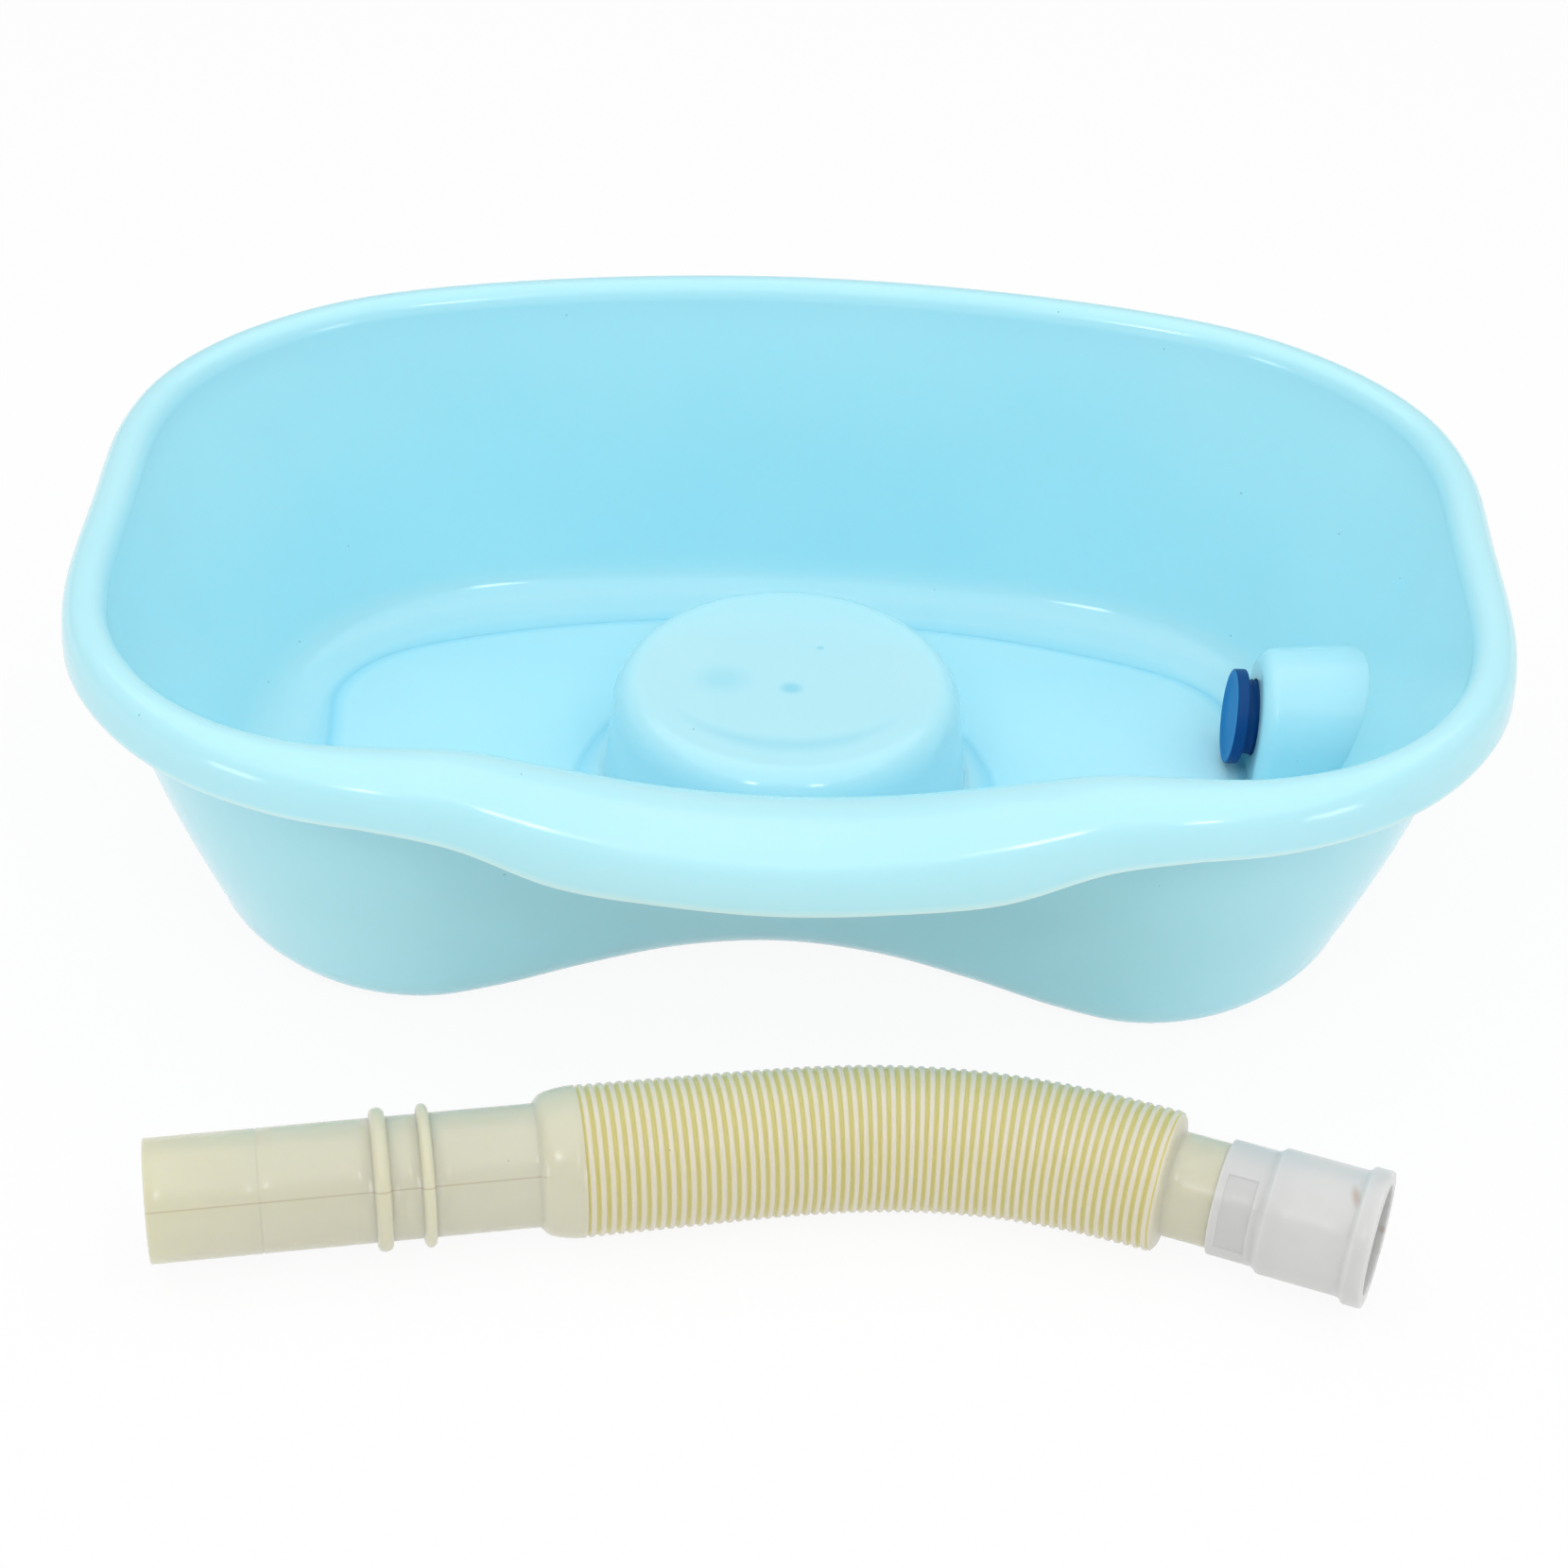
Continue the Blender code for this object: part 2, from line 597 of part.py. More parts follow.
def make_adapter(parts, material):
    """Two-socket sleeve: the hose's tail in the collar end, the spigot in the flared end."""
    route, distances = route_points()
    length = distances[-1]
    end = on_route(route, distances, length)
    run = (end - on_route(route, distances, length - TAIL_LENGTH)).normalized()
    mouth = end - run * ADAPTER_INSERT
    bore = TAIL_RADIUS + FIT_GAP
    collar = bore + ADAPTER_COLLAR_WALL
    barrel = ADAPTER_BARREL_RADIUS
    flare = barrel + ADAPTER_FLARE_HEIGHT
    socket = DRAIN_RADIUS + SPIGOT_WALL + FIT_GAP
    edge = FIT_GAP
    stop = ADAPTER_INSERT + FIT_GAP
    seat = stop + ADAPTER_STOP_THICKNESS
    total = seat + ADAPTER_SOCKET_DEPTH
    profile = [(bore, 0.0), (collar - edge, 0.0), (collar, edge), (collar, ADAPTER_COLLAR_LENGTH),
               (barrel, ADAPTER_COLLAR_LENGTH + ADAPTER_STEP_LENGTH),
               (barrel, total - ADAPTER_FLARE_LENGTH - ADAPTER_STEP_LENGTH),
               (flare, total - ADAPTER_FLARE_LENGTH), (flare, total - edge), (flare - edge, total),
               (socket + edge, total), (socket, total - edge), (socket, seat), (DRAIN_RADIUS, seat),
               (DRAIN_RADIUS, stop), (bore, stop)]
    heading = math.atan2(run.y, run.x)
    return turned("hose_adapter", profile, mouth, heading, parts, material)


def main():
    clear_scene()
    parts = make_collection(COLLECTION_NAME)
    cutters = make_collection(CUTTER_COLLECTION_NAME)
    make_basin(parts, cutters, make_material("aqua plastic", (0.42, 0.82, 0.90), 0.32))
    make_plug(parts, make_material("blue rubber", (0.02, 0.16, 0.42), 0.50))
    make_hose(parts, cutters, make_material("cream plastic", (0.72, 0.70, 0.52), 0.45))
    make_adapter(parts, make_material("white plastic", (0.75, 0.76, 0.76), 0.40))


main()
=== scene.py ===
# %% [markdown]
# # A portable shampoo basin with its drain hose
#
# This is a basin for washing the hair of somebody who lies in bed or sits in a chair. It is one injection
# moulding in aqua plastic, with a dip in the rim for the neck and a round rest for the head. A blue rubber
# plug closes the drain. A ribbed hose in cream plastic lies in front, with a milky sleeve that pushes onto
# the drain spigot.
#
# The file is read from top to bottom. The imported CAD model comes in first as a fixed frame, and each
# visible piece is then modelled over the CAD solid that it stands for.

import math

import bmesh
import bpy
from mathutils import Matrix, Vector, kdtree


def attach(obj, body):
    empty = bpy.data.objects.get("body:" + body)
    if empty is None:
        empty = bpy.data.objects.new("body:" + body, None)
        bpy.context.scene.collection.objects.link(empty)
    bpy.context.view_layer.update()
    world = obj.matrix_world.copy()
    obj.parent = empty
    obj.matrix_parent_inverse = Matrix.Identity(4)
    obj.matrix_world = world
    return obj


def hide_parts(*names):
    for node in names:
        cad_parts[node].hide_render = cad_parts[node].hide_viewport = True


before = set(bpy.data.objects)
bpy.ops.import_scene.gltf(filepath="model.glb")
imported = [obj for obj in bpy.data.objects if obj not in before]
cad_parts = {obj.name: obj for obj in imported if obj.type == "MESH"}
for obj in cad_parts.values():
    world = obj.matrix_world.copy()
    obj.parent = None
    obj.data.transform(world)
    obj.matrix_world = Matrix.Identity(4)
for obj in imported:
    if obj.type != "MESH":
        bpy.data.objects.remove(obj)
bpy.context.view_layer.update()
print("CAD nodes:", ", ".join(sorted(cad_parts)))

# %% [markdown]
# ## The camera
#
# The photograph looks down at the basin from the front, a little over a metre away, through a long lens.
# The camera is also turned slightly about its own axis, which makes the right end of the basin sit lower in
# the picture. A camera object looks along its own -Z, so it is first tipped up from straight down and then
# rolled about that axis.

# %% Camera
CAMERA_PLACE = Vector((0.0, -1.0205, 0.776))
CAMERA_PITCH_DOWN = math.radians(37.0)
CAMERA_ROLL = math.radians(2.16)
SENSOR_WIDTH_MM = 36.0
PHOTO_SIDE = 1659
FOCAL_LENGTH_IN_PIXELS = 3600.0


def leave_nothing_selected():
    """Operators act on all that is selected, so every new piece starts from here."""
    if bpy.context.object is not None and bpy.context.object.mode != "OBJECT":
        bpy.ops.object.mode_set(mode="OBJECT")
    bpy.ops.object.select_all(action="DESELECT")


leave_nothing_selected()
tipped = Matrix.Rotation(math.pi / 2 - CAMERA_PITCH_DOWN, 4, "X")
rolled = tipped @ Matrix.Rotation(CAMERA_ROLL, 4, "Z")
bpy.ops.object.camera_add(location=CAMERA_PLACE, rotation=rolled.to_euler())
camera = bpy.context.object
camera.name = "photo_camera"
camera.data.sensor_width = SENSOR_WIDTH_MM
camera.data.lens = SENSOR_WIDTH_MM * FOCAL_LENGTH_IN_PIXELS / PHOTO_SIDE
bpy.context.scene.camera = camera
print(f"Lens {camera.data.lens:.1f} mm")

# %% [markdown]
# ## The line of the drain hose
#
# The hose is a blow moulding: a straight open cuff, two beads that stop a clamp from sliding, a shoulder, a
# long ribbed stretch that bends, and a plain tail. It lies on the same surface as the basin, in the gentle
# bend that such a stiff hose keeps. The route is a short list of places, seen from above, and a smooth line
# through them is the hose's centre line. The list also says how long the hose is.

# %% Hose route
HOSE_AXIS_HEIGHT = 0.0248
HOSE_ROUTE = (
    (-0.1945, -0.2530), (-0.1356, -0.2417), (-0.0747, -0.2301), (-0.0472, -0.2248),
    (-0.0226, -0.2201), (-0.0030, -0.2164), (0.0168, -0.2133), (0.0367, -0.2115),
    (0.0567, -0.2115), (0.0766, -0.2135), (0.0962, -0.2173), (0.1154, -0.2228),
    (0.1344, -0.2292), (0.1485, -0.2342), (0.1644, -0.2399))
ROUTE_STEPS = 280


def smooth_line(rows, steps):
    """Points of a smooth line through the rows; the first and the last row only steer it."""
    spans = len(rows) - 3
    line = []
    for step in range(steps + 1):
        place = step * spans / steps
        index = min(int(place), spans - 1)
        t = place - index
        a, b, c, d = rows[index:index + 4]
        line.append(0.5 * (2 * b + (c - a) * t + (2 * a - 5 * b + 4 * c - d) * t ** 2
                           + (3 * b - a - 3 * c + d) * t ** 3))
    return line


route_rows = [Vector((x, y, HOSE_AXIS_HEIGHT)) for x, y in HOSE_ROUTE]
before_mouth = 2 * route_rows[0] - route_rows[1]
after_tail = 2 * route_rows[-1] - route_rows[-2]
route_line = smooth_line([before_mouth, *route_rows, after_tail], ROUTE_STEPS)
route_places = [0.0]
for here, there in zip(route_line[:-1], route_line[1:]):
    route_places.append(route_places[-1] + (there - here).length)
HOSE_LENGTH = route_places[-1]
print(f"Hose length {HOSE_LENGTH * 1000:.1f} mm")

# %% [markdown]
# ## The profile of the hose
#
# A turned or blown shape is described by its radius at each place along its length. The list below walks
# along the outside of the hose from the mouth to the tail. The ribs are broad rounded ridges with narrow
# grooves between them, because the real bellows is blown into such a mould, and each groove gets eight
# rings so that it looks round.

# %% Hose profile
CUFF_RADIUS = 0.01975
CUFF_LENGTH = 0.122
CUFF_WALL = 0.0014
EDGE_ROUND = 0.00035
SCRIBED_RING_PLACE = 0.0350
SCRIBED_RING_HALF_WIDTH = 0.0005
SCRIBED_RING_DEPTH = 0.0003
BEADS = ((0.0731, 0.0026), (0.0874, 0.0020))
BEAD_HEIGHT = 0.0031
CREST_RADIUS = 0.0244
CREST_END_RADIUS = 0.0230
SHOULDER_SHAPE = ((0.0, 0.0), (0.0006, 0.06), (0.0012, 0.22), (0.0020, 0.42), (0.0032, 0.60),
                  (0.0050, 0.74), (0.0080, 0.88), (0.0112, 0.97), (0.0140, 1.0))
RIB_COUNT = 60
RIB_DEPTH = 0.0007
RIB_SHAPE = ((0.0, 1.0), (0.13, 0.94), (0.23, 0.48), (0.32, 0.08),
             (0.50, 0.0), (0.68, 0.08), (0.77, 0.48), (0.87, 0.94))
RIDGE_MARK = 1.0
BORE_WALL = 0.0026
TAIL_RADIUS = 0.0171
TAIL_LENGTH = 0.0375
TAIL_FACE_LENGTH = 0.0022
PLAIN_STEP = 0.006
BEAD_RINGS = 8
PARTING_LINES = (0.41, 0.91)

ribs_start = CUFF_LENGTH + SHOULDER_SHAPE[-1][0] + 0.0005
ribs_end = HOSE_LENGTH - TAIL_LENGTH - TAIL_FACE_LENGTH
rib_pitch = (ribs_end - ribs_start) / RIB_COUNT


def crest_radius(place):
    share = (place - ribs_start) / (ribs_end - ribs_start)
    return CREST_RADIUS + (CREST_END_RADIUS - CREST_RADIUS) * share


def scribed_ring(place):
    """A fine line cut round the cuff, where it may be cut shorter."""
    half = SCRIBED_RING_HALF_WIDTH
    return [(place - half, CUFF_RADIUS, 0.0), (place, CUFF_RADIUS - SCRIBED_RING_DEPTH, 0.0),
            (place + half, CUFF_RADIUS, 0.0)]


def bead(place, half_width):
    rings = []
    for step in range(BEAD_RINGS + 1):
        angle = math.pi * step / BEAD_RINGS
        height = BEAD_HEIGHT * math.sin(angle) ** 0.7
        rings.append((place - half_width * math.cos(angle), CUFF_RADIUS + height, 0.0))
    return rings


outside = [(0.0, CUFF_RADIUS - EDGE_ROUND, 0.0), (EDGE_ROUND, CUFF_RADIUS, 0.0)]
outside += scribed_ring(SCRIBED_RING_PLACE)
for bead_place, bead_half_width in BEADS:
    outside += bead(bead_place, bead_half_width)
for along, share in SHOULDER_SHAPE:
    outside.append((CUFF_LENGTH + along, CUFF_RADIUS + (CREST_RADIUS - CUFF_RADIUS) * share, 0.0))
for rib in range(RIB_COUNT):
    for along, depth_share in RIB_SHAPE:
        place = ribs_start + (rib + along) * rib_pitch
        outside.append((place, crest_radius(place) - RIB_DEPTH * depth_share, RIDGE_MARK + depth_share))
tail_crest = CREST_END_RADIUS - RIB_DEPTH / 2
outside += [(ribs_end, tail_crest, 0.9), (ribs_end + TAIL_FACE_LENGTH * 0.4, tail_crest - 0.0012, 0.3),
            (ribs_end + TAIL_FACE_LENGTH * 0.7, TAIL_RADIUS + 0.0012, 0.0),
            (ribs_end + TAIL_FACE_LENGTH, TAIL_RADIUS, 0.0), (HOSE_LENGTH, TAIL_RADIUS, 0.0)]
inside = [(0.0, CUFF_RADIUS - CUFF_WALL + EDGE_ROUND, 0.0), (EDGE_ROUND, CUFF_RADIUS - CUFF_WALL, 0.0),
          (CUFF_LENGTH, CUFF_RADIUS - CUFF_WALL, 0.0),
          (CUFF_LENGTH + SHOULDER_SHAPE[-1][0], CREST_RADIUS - BORE_WALL, 0.0),
          (ribs_end - TAIL_FACE_LENGTH, crest_radius(ribs_end) - BORE_WALL, 0.0),
          (ribs_end, TAIL_RADIUS - CUFF_WALL, 0.0), (HOSE_LENGTH, TAIL_RADIUS - CUFF_WALL, 0.0)]
print(f"{RIB_COUNT} ribs, one every {rib_pitch * 1000:.2f} mm")

# %% [markdown]
# ## The hose
#
# The tube is made ring by ring along the route. Each ring stands square to the line, so the ribs fan out on
# the outer side of the bend as they do on a real hose. The rings go out along the outside, round the cut
# edge of the tail, and back along the bore, so that the wall is one closed skin and the open mouth shows a
# true thickness. The depth of each groove is stored with the points, for the material to read later.

# %% Drain hose
HOSE_SIDES = 72


def with_plain_rings(stations):
    """The same stations with more of them in the long plain stretches, so that the tube can bend."""
    filled = [stations[0]]
    for first, second in zip(stations[:-1], stations[1:]):
        count = max(1, math.ceil((second[0] - first[0]) / PLAIN_STEP))
        for step in range(1, count + 1):
            share = step / count
            filled.append(tuple(a + (b - a) * share for a, b in zip(first, second)))
    return filled


def route_frame(distance):
    """Place and sideways direction of the hose's line at a distance from the mouth."""
    index = 0
    while index < len(route_line) - 2 and route_places[index + 1] < distance:
        index += 1
    share = (distance - route_places[index]) / (route_places[index + 1] - route_places[index])
    along = (route_line[index + 1] - route_line[index]).normalized()
    if 0 < index < len(route_line) - 2:
        before = (route_line[index] - route_line[index - 1]).normalized()
        after = (route_line[index + 2] - route_line[index + 1]).normalized()
        along = before.lerp(after, (1 + share) / 3 + (1 - share) / 6).normalized()
    return route_line[index].lerp(route_line[index + 1], share), Vector((-along.y, along.x, 0.0))


def tube_along_route(name, stations):
    """Closed skin through rings at (distance, radius, groove depth), with a UV map along it."""
    skin = bmesh.new()
    groove = skin.verts.layers.float.new("groove")
    uv = skin.loops.layers.uv.new("along_hose")
    rings = []
    for distance, radius, depth in stations:
        centre, side = route_frame(distance)
        ring = []
        for corner in range(HOSE_SIDES):
            angle = 2 * math.pi * corner / HOSE_SIDES
            spoke = side * math.cos(angle) + Vector((0.0, 0.0, math.sin(angle)))
            vert = skin.verts.new(centre + radius * spoke)
            vert[groove] = depth
            ring.append(vert)
        rings.append(ring)
    for index, ring in enumerate(rings):
        other = (index + 1) % len(rings)
        heights = (stations[index][0], stations[other][0])
        for corner in range(HOSE_SIDES):
            following = (corner + 1) % HOSE_SIDES
            face = skin.faces.new((ring[corner], ring[following], rings[other][following],
                                   rings[other][corner]))
            around = (corner / HOSE_SIDES, (corner + 1) / HOSE_SIDES)
            places = ((around[0], heights[0]), (around[1], heights[0]),
                      (around[1], heights[1]), (around[0], heights[1]))
            for loop, place in zip(face.loops, places):
                loop[uv].uv = place
    bmesh.ops.recalc_face_normals(skin, faces=skin.faces)
    data = bpy.data.meshes.new(name)
    skin.to_mesh(data)
    skin.free()
    piece = bpy.data.objects.new(name, data)
    bpy.context.scene.collection.objects.link(piece)
    return piece


hose = tube_along_route("ribbed_hose", with_plain_rings(outside) + with_plain_rings(inside)[::-1])
hose.data.shade_smooth()
print(f"Hose: {len(hose.data.polygons)} faces")

# %% [markdown]
# ## The outlines of the basin
#
# Seen from above, the basin is a rounded rectangle whose base has a bay at the neck. Both outlines are the
# same left and right, so each is written down once, from the middle of the front round the right end to the
# middle of the back, as shares of half the length and half the width. A smooth line through those points is
# the right half of the outline, and its mirror image is the left half.

# %% Outlines
RIM_LENGTH = 0.500
RIM_WIDTH = 0.350
RIM_HEIGHT = 0.130
END_LEAN = 0.048
SIDE_LEAN = 0.0365
BASE_LENGTH = RIM_LENGTH - 2 * END_LEAN
BASE_WIDTH = RIM_WIDTH - 2 * SIDE_LEAN
HALF_STEPS = 96
RIM_OUTLINE = (
    (0.0, -1.0), (0.144, -1.0), (0.288, -1.0), (0.416, -0.997), (0.536, -0.986), (0.658, -0.947),
    (0.780, -0.861), (0.885, -0.724), (0.962, -0.543), (0.996, -0.332), (0.999, -0.014),
    (0.995, 0.272), (0.945, 0.500), (0.825, 0.704), (0.642, 0.856), (0.340, 0.960), (0.0, 1.0))
BASE_OUTLINE = (
    (0.0, -0.645), (0.170, -0.682), (0.328, -0.772), (0.470, -0.869), (0.600, -0.925),
    (0.730, -0.899), (0.846, -0.798), (0.930, -0.653), (0.977, -0.470), (0.996, -0.270),
    (1.0, -0.022), (0.993, 0.231), (0.955, 0.469), (0.856, 0.693), (0.663, 0.870),
    (0.347, 0.971), (0.0, 1.0))


def half_outline(shares, length, width):
    rows = [Vector((x * length / 2, y * width / 2)) for x, y in shares]
    before = Vector((-rows[1].x, rows[1].y))
    after = Vector((-rows[-2].x, rows[-2].y))
    return smooth_line([before, *rows, after], HALF_STEPS)


def along_outline(shares):
    """A value that changes smoothly along the half outline, at each of its steps."""
    rows = [Vector((share, 0.0)) for share in (shares[1], *shares, shares[-2])]
    return [max(0.0, row.x) for row in smooth_line(rows, HALF_STEPS)]


def outward(outline):
    """Unit directions square to a half outline, away from the middle of the basin."""
    first = Vector((-outline[1].x, outline[1].y))
    last = Vector((-outline[-2].x, outline[-2].y))
    closed = [first, *outline, last]
    normals = []
    for before, after in zip(closed[:-2], closed[2:]):
        run = (after - before).normalized()
        normals.append(Vector((run.y, -run.x)))
    return normals


rim = half_outline(RIM_OUTLINE, RIM_LENGTH, RIM_WIDTH)
rim_out = outward(rim)
base = half_outline(BASE_OUTLINE, BASE_LENGTH, BASE_WIDTH)
base_out = outward(base)
print(f"Half outlines with {len(rim)} points each")

# %% [markdown]
# ## The rolled flange
#
# The rim rolls outwards and down, which stiffens the thin wall and is soft to the neck. It is narrow round
# the ends and the back. At the neck it widens into a broad saddle and dips, so three more lists say how
# much of the widening and of the dips each place has. The section across the flange is one list of shares
# too: outwards from the wall, and down from the crest.

# %% Flange sizes
FLANGE_WIDTH = 0.016
FLANGE_WIDENING = 0.027
FLANGE_DROP = 0.018
NECK_CREST_DIP = 0.022
NECK_LIP_DIP = 0.027
CREST_DIP = (1.0, 0.88, 0.50, 0.08) + (0.0,) * 13
LIP_DIP = (1.0, 0.91, 0.69, 0.19) + (0.0,) * 13
WIDENING = (1.0, 0.97, 0.85, 0.60, 0.40, 0.22, 0.08) + (0.0,) * 10
FLANGE_SECTION = ((0.0, 0.50), (0.03, 0.28), (0.14, 0.10), (0.32, 0.0), (0.52, 0.0),
                  (0.72, 0.07), (0.88, 0.24), (0.965, 0.50), (1.0, 1.0))
FLANGE_STEPS = 32

crest_dips = along_outline(CREST_DIP)
lip_dips = along_outline(LIP_DIP)
widenings = along_outline(WIDENING)
flange = []
for crest_dip, lip_dip, widening in zip(crest_dips, lip_dips, widenings):
    crest = RIM_HEIGHT - NECK_CREST_DIP * crest_dip
    lip = RIM_HEIGHT - FLANGE_DROP - NECK_LIP_DIP * lip_dip
    flange.append((FLANGE_WIDTH + FLANGE_WIDENING * widening, crest, crest - lip))

section_rows = [Vector(row) for row in FLANGE_SECTION]
section_before = Vector((-0.06, 1.3))
section_after = Vector((1.0, 1.6))
flange_section = smooth_line([section_before, *section_rows, section_after], FLANGE_STEPS)
print(f"Flange {FLANGE_WIDTH * 1000:.0f} to {flange[0][0] * 1000:.0f} mm wide")

# %% [markdown]
# ## Rings, from the headrest to the top of the wall
#
# The inside of the basin is one skin, and it can be told as a set of closed rings, each a little further
# out than the last: across the top of the round headrest, over its rounded edge, down its side, along the
# floor, down the fine step that edges the raised field, round the fillet and up the wall. All rings have
# the same number of points, so that neighbours join with plain four-sided faces.

# %% Rings of the floor and the wall
WALL = 0.0024
FIELD_HEIGHT = WALL + 0.0012
HEADREST_Y = 0.0105
HEADREST_HEIGHT = WALL + 0.0461
HEADREST_TOP_RADIUS = 0.065
HEADREST_FOOT_RADIUS = 0.068
HEADREST_EDGE_WIDTH = 0.011
HEADREST_EDGE_HEIGHT = 0.013
HEADREST_EDGE_STEPS = 9
HEADREST_ROOT_RADIUS = 0.003
HEADREST_TOP_RINGS = (0.0012, 0.011, 0.022, 0.033, 0.044)
PAD_RADII = (0.0712, 0.0742, 0.0800, 0.0810, 0.0768, 0.0727, 0.0718, 0.0716, 0.0716)
PAD_EDGE_WIDTH = 0.0015
PAD_HEIGHT = 0.0006
FIELD_INSET = 0.0175
FIELD_FURTHER = 0.0105
FIELD_EDGE_WIDTH = 0.004
FIELD_INSET_SHARES = (0.40, 0.40, 0.38, 0.34, 0.28, 0.22, 0.16, 0.30, 0.68, 0.96, 1.0, 0.66, 0.04,
                      0.20, 0.68, 0.50, 0.40)
BASE_FILLET = 0.016
WALL_BOW = 0.0042
BOW_SHARES = (0.0,) * 4 + (0.10, 0.38, 0.66, 0.88, 1.0, 0.96, 0.62, 0.26, 0.06) + (0.0,) * 4
FILLET_STEPS = 10
WALL_STEPS = 12
ARC_STEPS = 5


def whole(half):
    """The right half's points and their mirror image, once round from the front."""
    return half + [Vector((-point.x, *point[1:])) for point in half[-2:0:-1]]


def headrest_ring(radii, height):
    """Half ring round the headrest's axis, from the front to the back, with a radius for each step."""
    ring = []
    for step, radius in enumerate(radii):
        angle = math.pi * (step / HALF_STEPS - 0.5)
        ring.append(Vector((radius * math.cos(angle), HEADREST_Y + radius * math.sin(angle), height)))
    return ring


def circle_ring(radius, height):
    return headrest_ring([radius] * (HALF_STEPS + 1), height)


def inset_ring(insets, height):
    return [Vector((*(point - inset * out), height))
            for point, out, inset in zip(base, base_out, insets)]


def soft_step(share):
    return share * share * (3 - 2 * share)


rings = [circle_ring(radius, HEADREST_HEIGHT) for radius in HEADREST_TOP_RINGS]
for step in range(HEADREST_EDGE_STEPS + 1):
    turn = math.pi / 2 * step / HEADREST_EDGE_STEPS
    reach = HEADREST_EDGE_WIDTH * (math.sin(turn) - 1)
    drop = HEADREST_EDGE_HEIGHT * (1 - math.cos(turn))
    rings.append(circle_ring(HEADREST_TOP_RADIUS + reach, HEADREST_HEIGHT - drop))
pad_top = FIELD_HEIGHT + PAD_HEIGHT
side_top = HEADREST_HEIGHT - HEADREST_EDGE_HEIGHT
side_foot = pad_top + HEADREST_ROOT_RADIUS
for share in (0.33, 0.67):
    rings.append(circle_ring(HEADREST_TOP_RADIUS + (HEADREST_FOOT_RADIUS - HEADREST_TOP_RADIUS) * share,
                             side_top + (side_foot - side_top) * share))
for step in range(ARC_STEPS + 1):
    turn = math.pi / 2 * step / ARC_STEPS
    reach = HEADREST_ROOT_RADIUS * (1 - math.cos(turn))
    rise = HEADREST_ROOT_RADIUS * (1 - math.sin(turn))
    rings.append(circle_ring(HEADREST_FOOT_RADIUS + reach, pad_top + rise))
pad_radii = [radius + PAD_EDGE_WIDTH for radius in along_outline(PAD_RADII)]
for share in (0.0, 0.3, 0.7, 1.0):
    rings.append(headrest_ring([radius - PAD_EDGE_WIDTH * (1 - share) for radius in pad_radii],
                               pad_top - PAD_HEIGHT * soft_step(share)))

field_insets = [FIELD_INSET + FIELD_FURTHER * share for share in along_outline(FIELD_INSET_SHARES)]
pad_edge = rings[-1]
field_edge = inset_ring([inset + FIELD_EDGE_WIDTH for inset in field_insets], FIELD_HEIGHT)
for from_field in (False, True):
    ring = []
    for inner, outer in zip(pad_edge, field_edge):
        share = min(0.3, FIELD_EDGE_WIDTH / (outer - inner).length)
        ring.append(inner.lerp(outer, 1 - share if from_field else share))
    rings.append(ring)
for share in (0.0, 0.25, 0.5, 0.75, 1.0):
    insets = [inset + FIELD_EDGE_WIDTH * (1 - share) for inset in field_insets]
    rings.append(inset_ring(insets, FIELD_HEIGHT + (WALL - FIELD_HEIGHT) * soft_step(share)))

wall_starts = inset_ring([BASE_FILLET] * len(base), WALL)
fillet_rings = [[] for _ in range(FILLET_STEPS + 1)]
wall_rings = [[] for _ in range(WALL_STEPS)]
bows = along_outline(BOW_SHARES)
for index, (width, crest, drop) in enumerate(flange):
    top = Vector((*(rim[index] - width * rim_out[index]), crest - drop * FLANGE_SECTION[0][1]))
    corner = Vector((*base[index], WALL))
    end = corner + BASE_FILLET * (top - corner).normalized()
    for step, ring in enumerate(fillet_rings):
        t = step / FILLET_STEPS
        ring.append((1 - t) ** 2 * wall_starts[index] + 2 * t * (1 - t) * corner + t ** 2 * end)
    bow = Vector((*(WALL_BOW * bows[index] * base_out[index]), 0.0))
    for step, ring in enumerate(wall_rings):
        t = (step + 1) / WALL_STEPS
        ring.append(end.lerp(top, t) + math.sin(math.pi * t) * bow)
rings += fillet_rings + wall_rings
rings = [whole(ring) for ring in rings]
pad_line = whole(headrest_ring([radius - PAD_EDGE_WIDTH / 2 for radius in pad_radii], pad_top))
field_line = whole(inset_ring([inset + FIELD_EDGE_WIDTH / 2 for inset in field_insets], FIELD_HEIGHT))
print(f"{len(rings)} rings of {len(rings[0])} points")

# %% [markdown]
# ## The water's shape
#
# A good way to get a housing that grows out of both the floor and the wall is to model the water instead of
# the basin: a solid that fills the inside. It starts as a circle primitive at the middle of the headrest.
# Its edge is extruded again and again, and each new ring of points is moved to its place. A face closes the
# top.

# %% Water solid
def start_ring(name, points):
    """A circle primitive whose points are moved to a ring, left open in edit mode."""
    leave_nothing_selected()
    bpy.ops.mesh.primitive_circle_add(vertices=len(points), radius=points[0].length, fill_type="NGON")
    piece = bpy.context.object
    piece.name = piece.data.name = name
    bpy.ops.object.mode_set(mode="EDIT")
    skin = bmesh.from_edit_mesh(piece.data)
    skin.verts.ensure_lookup_table()
    for vert, point in zip(skin.verts, points):
        vert.co = point
    bmesh.update_edit_mesh(piece.data)
    bpy.ops.mesh.select_mode(type="EDGE")
    bpy.ops.mesh.select_all(action="SELECT")
    return piece, {index: index for index in range(len(points))}


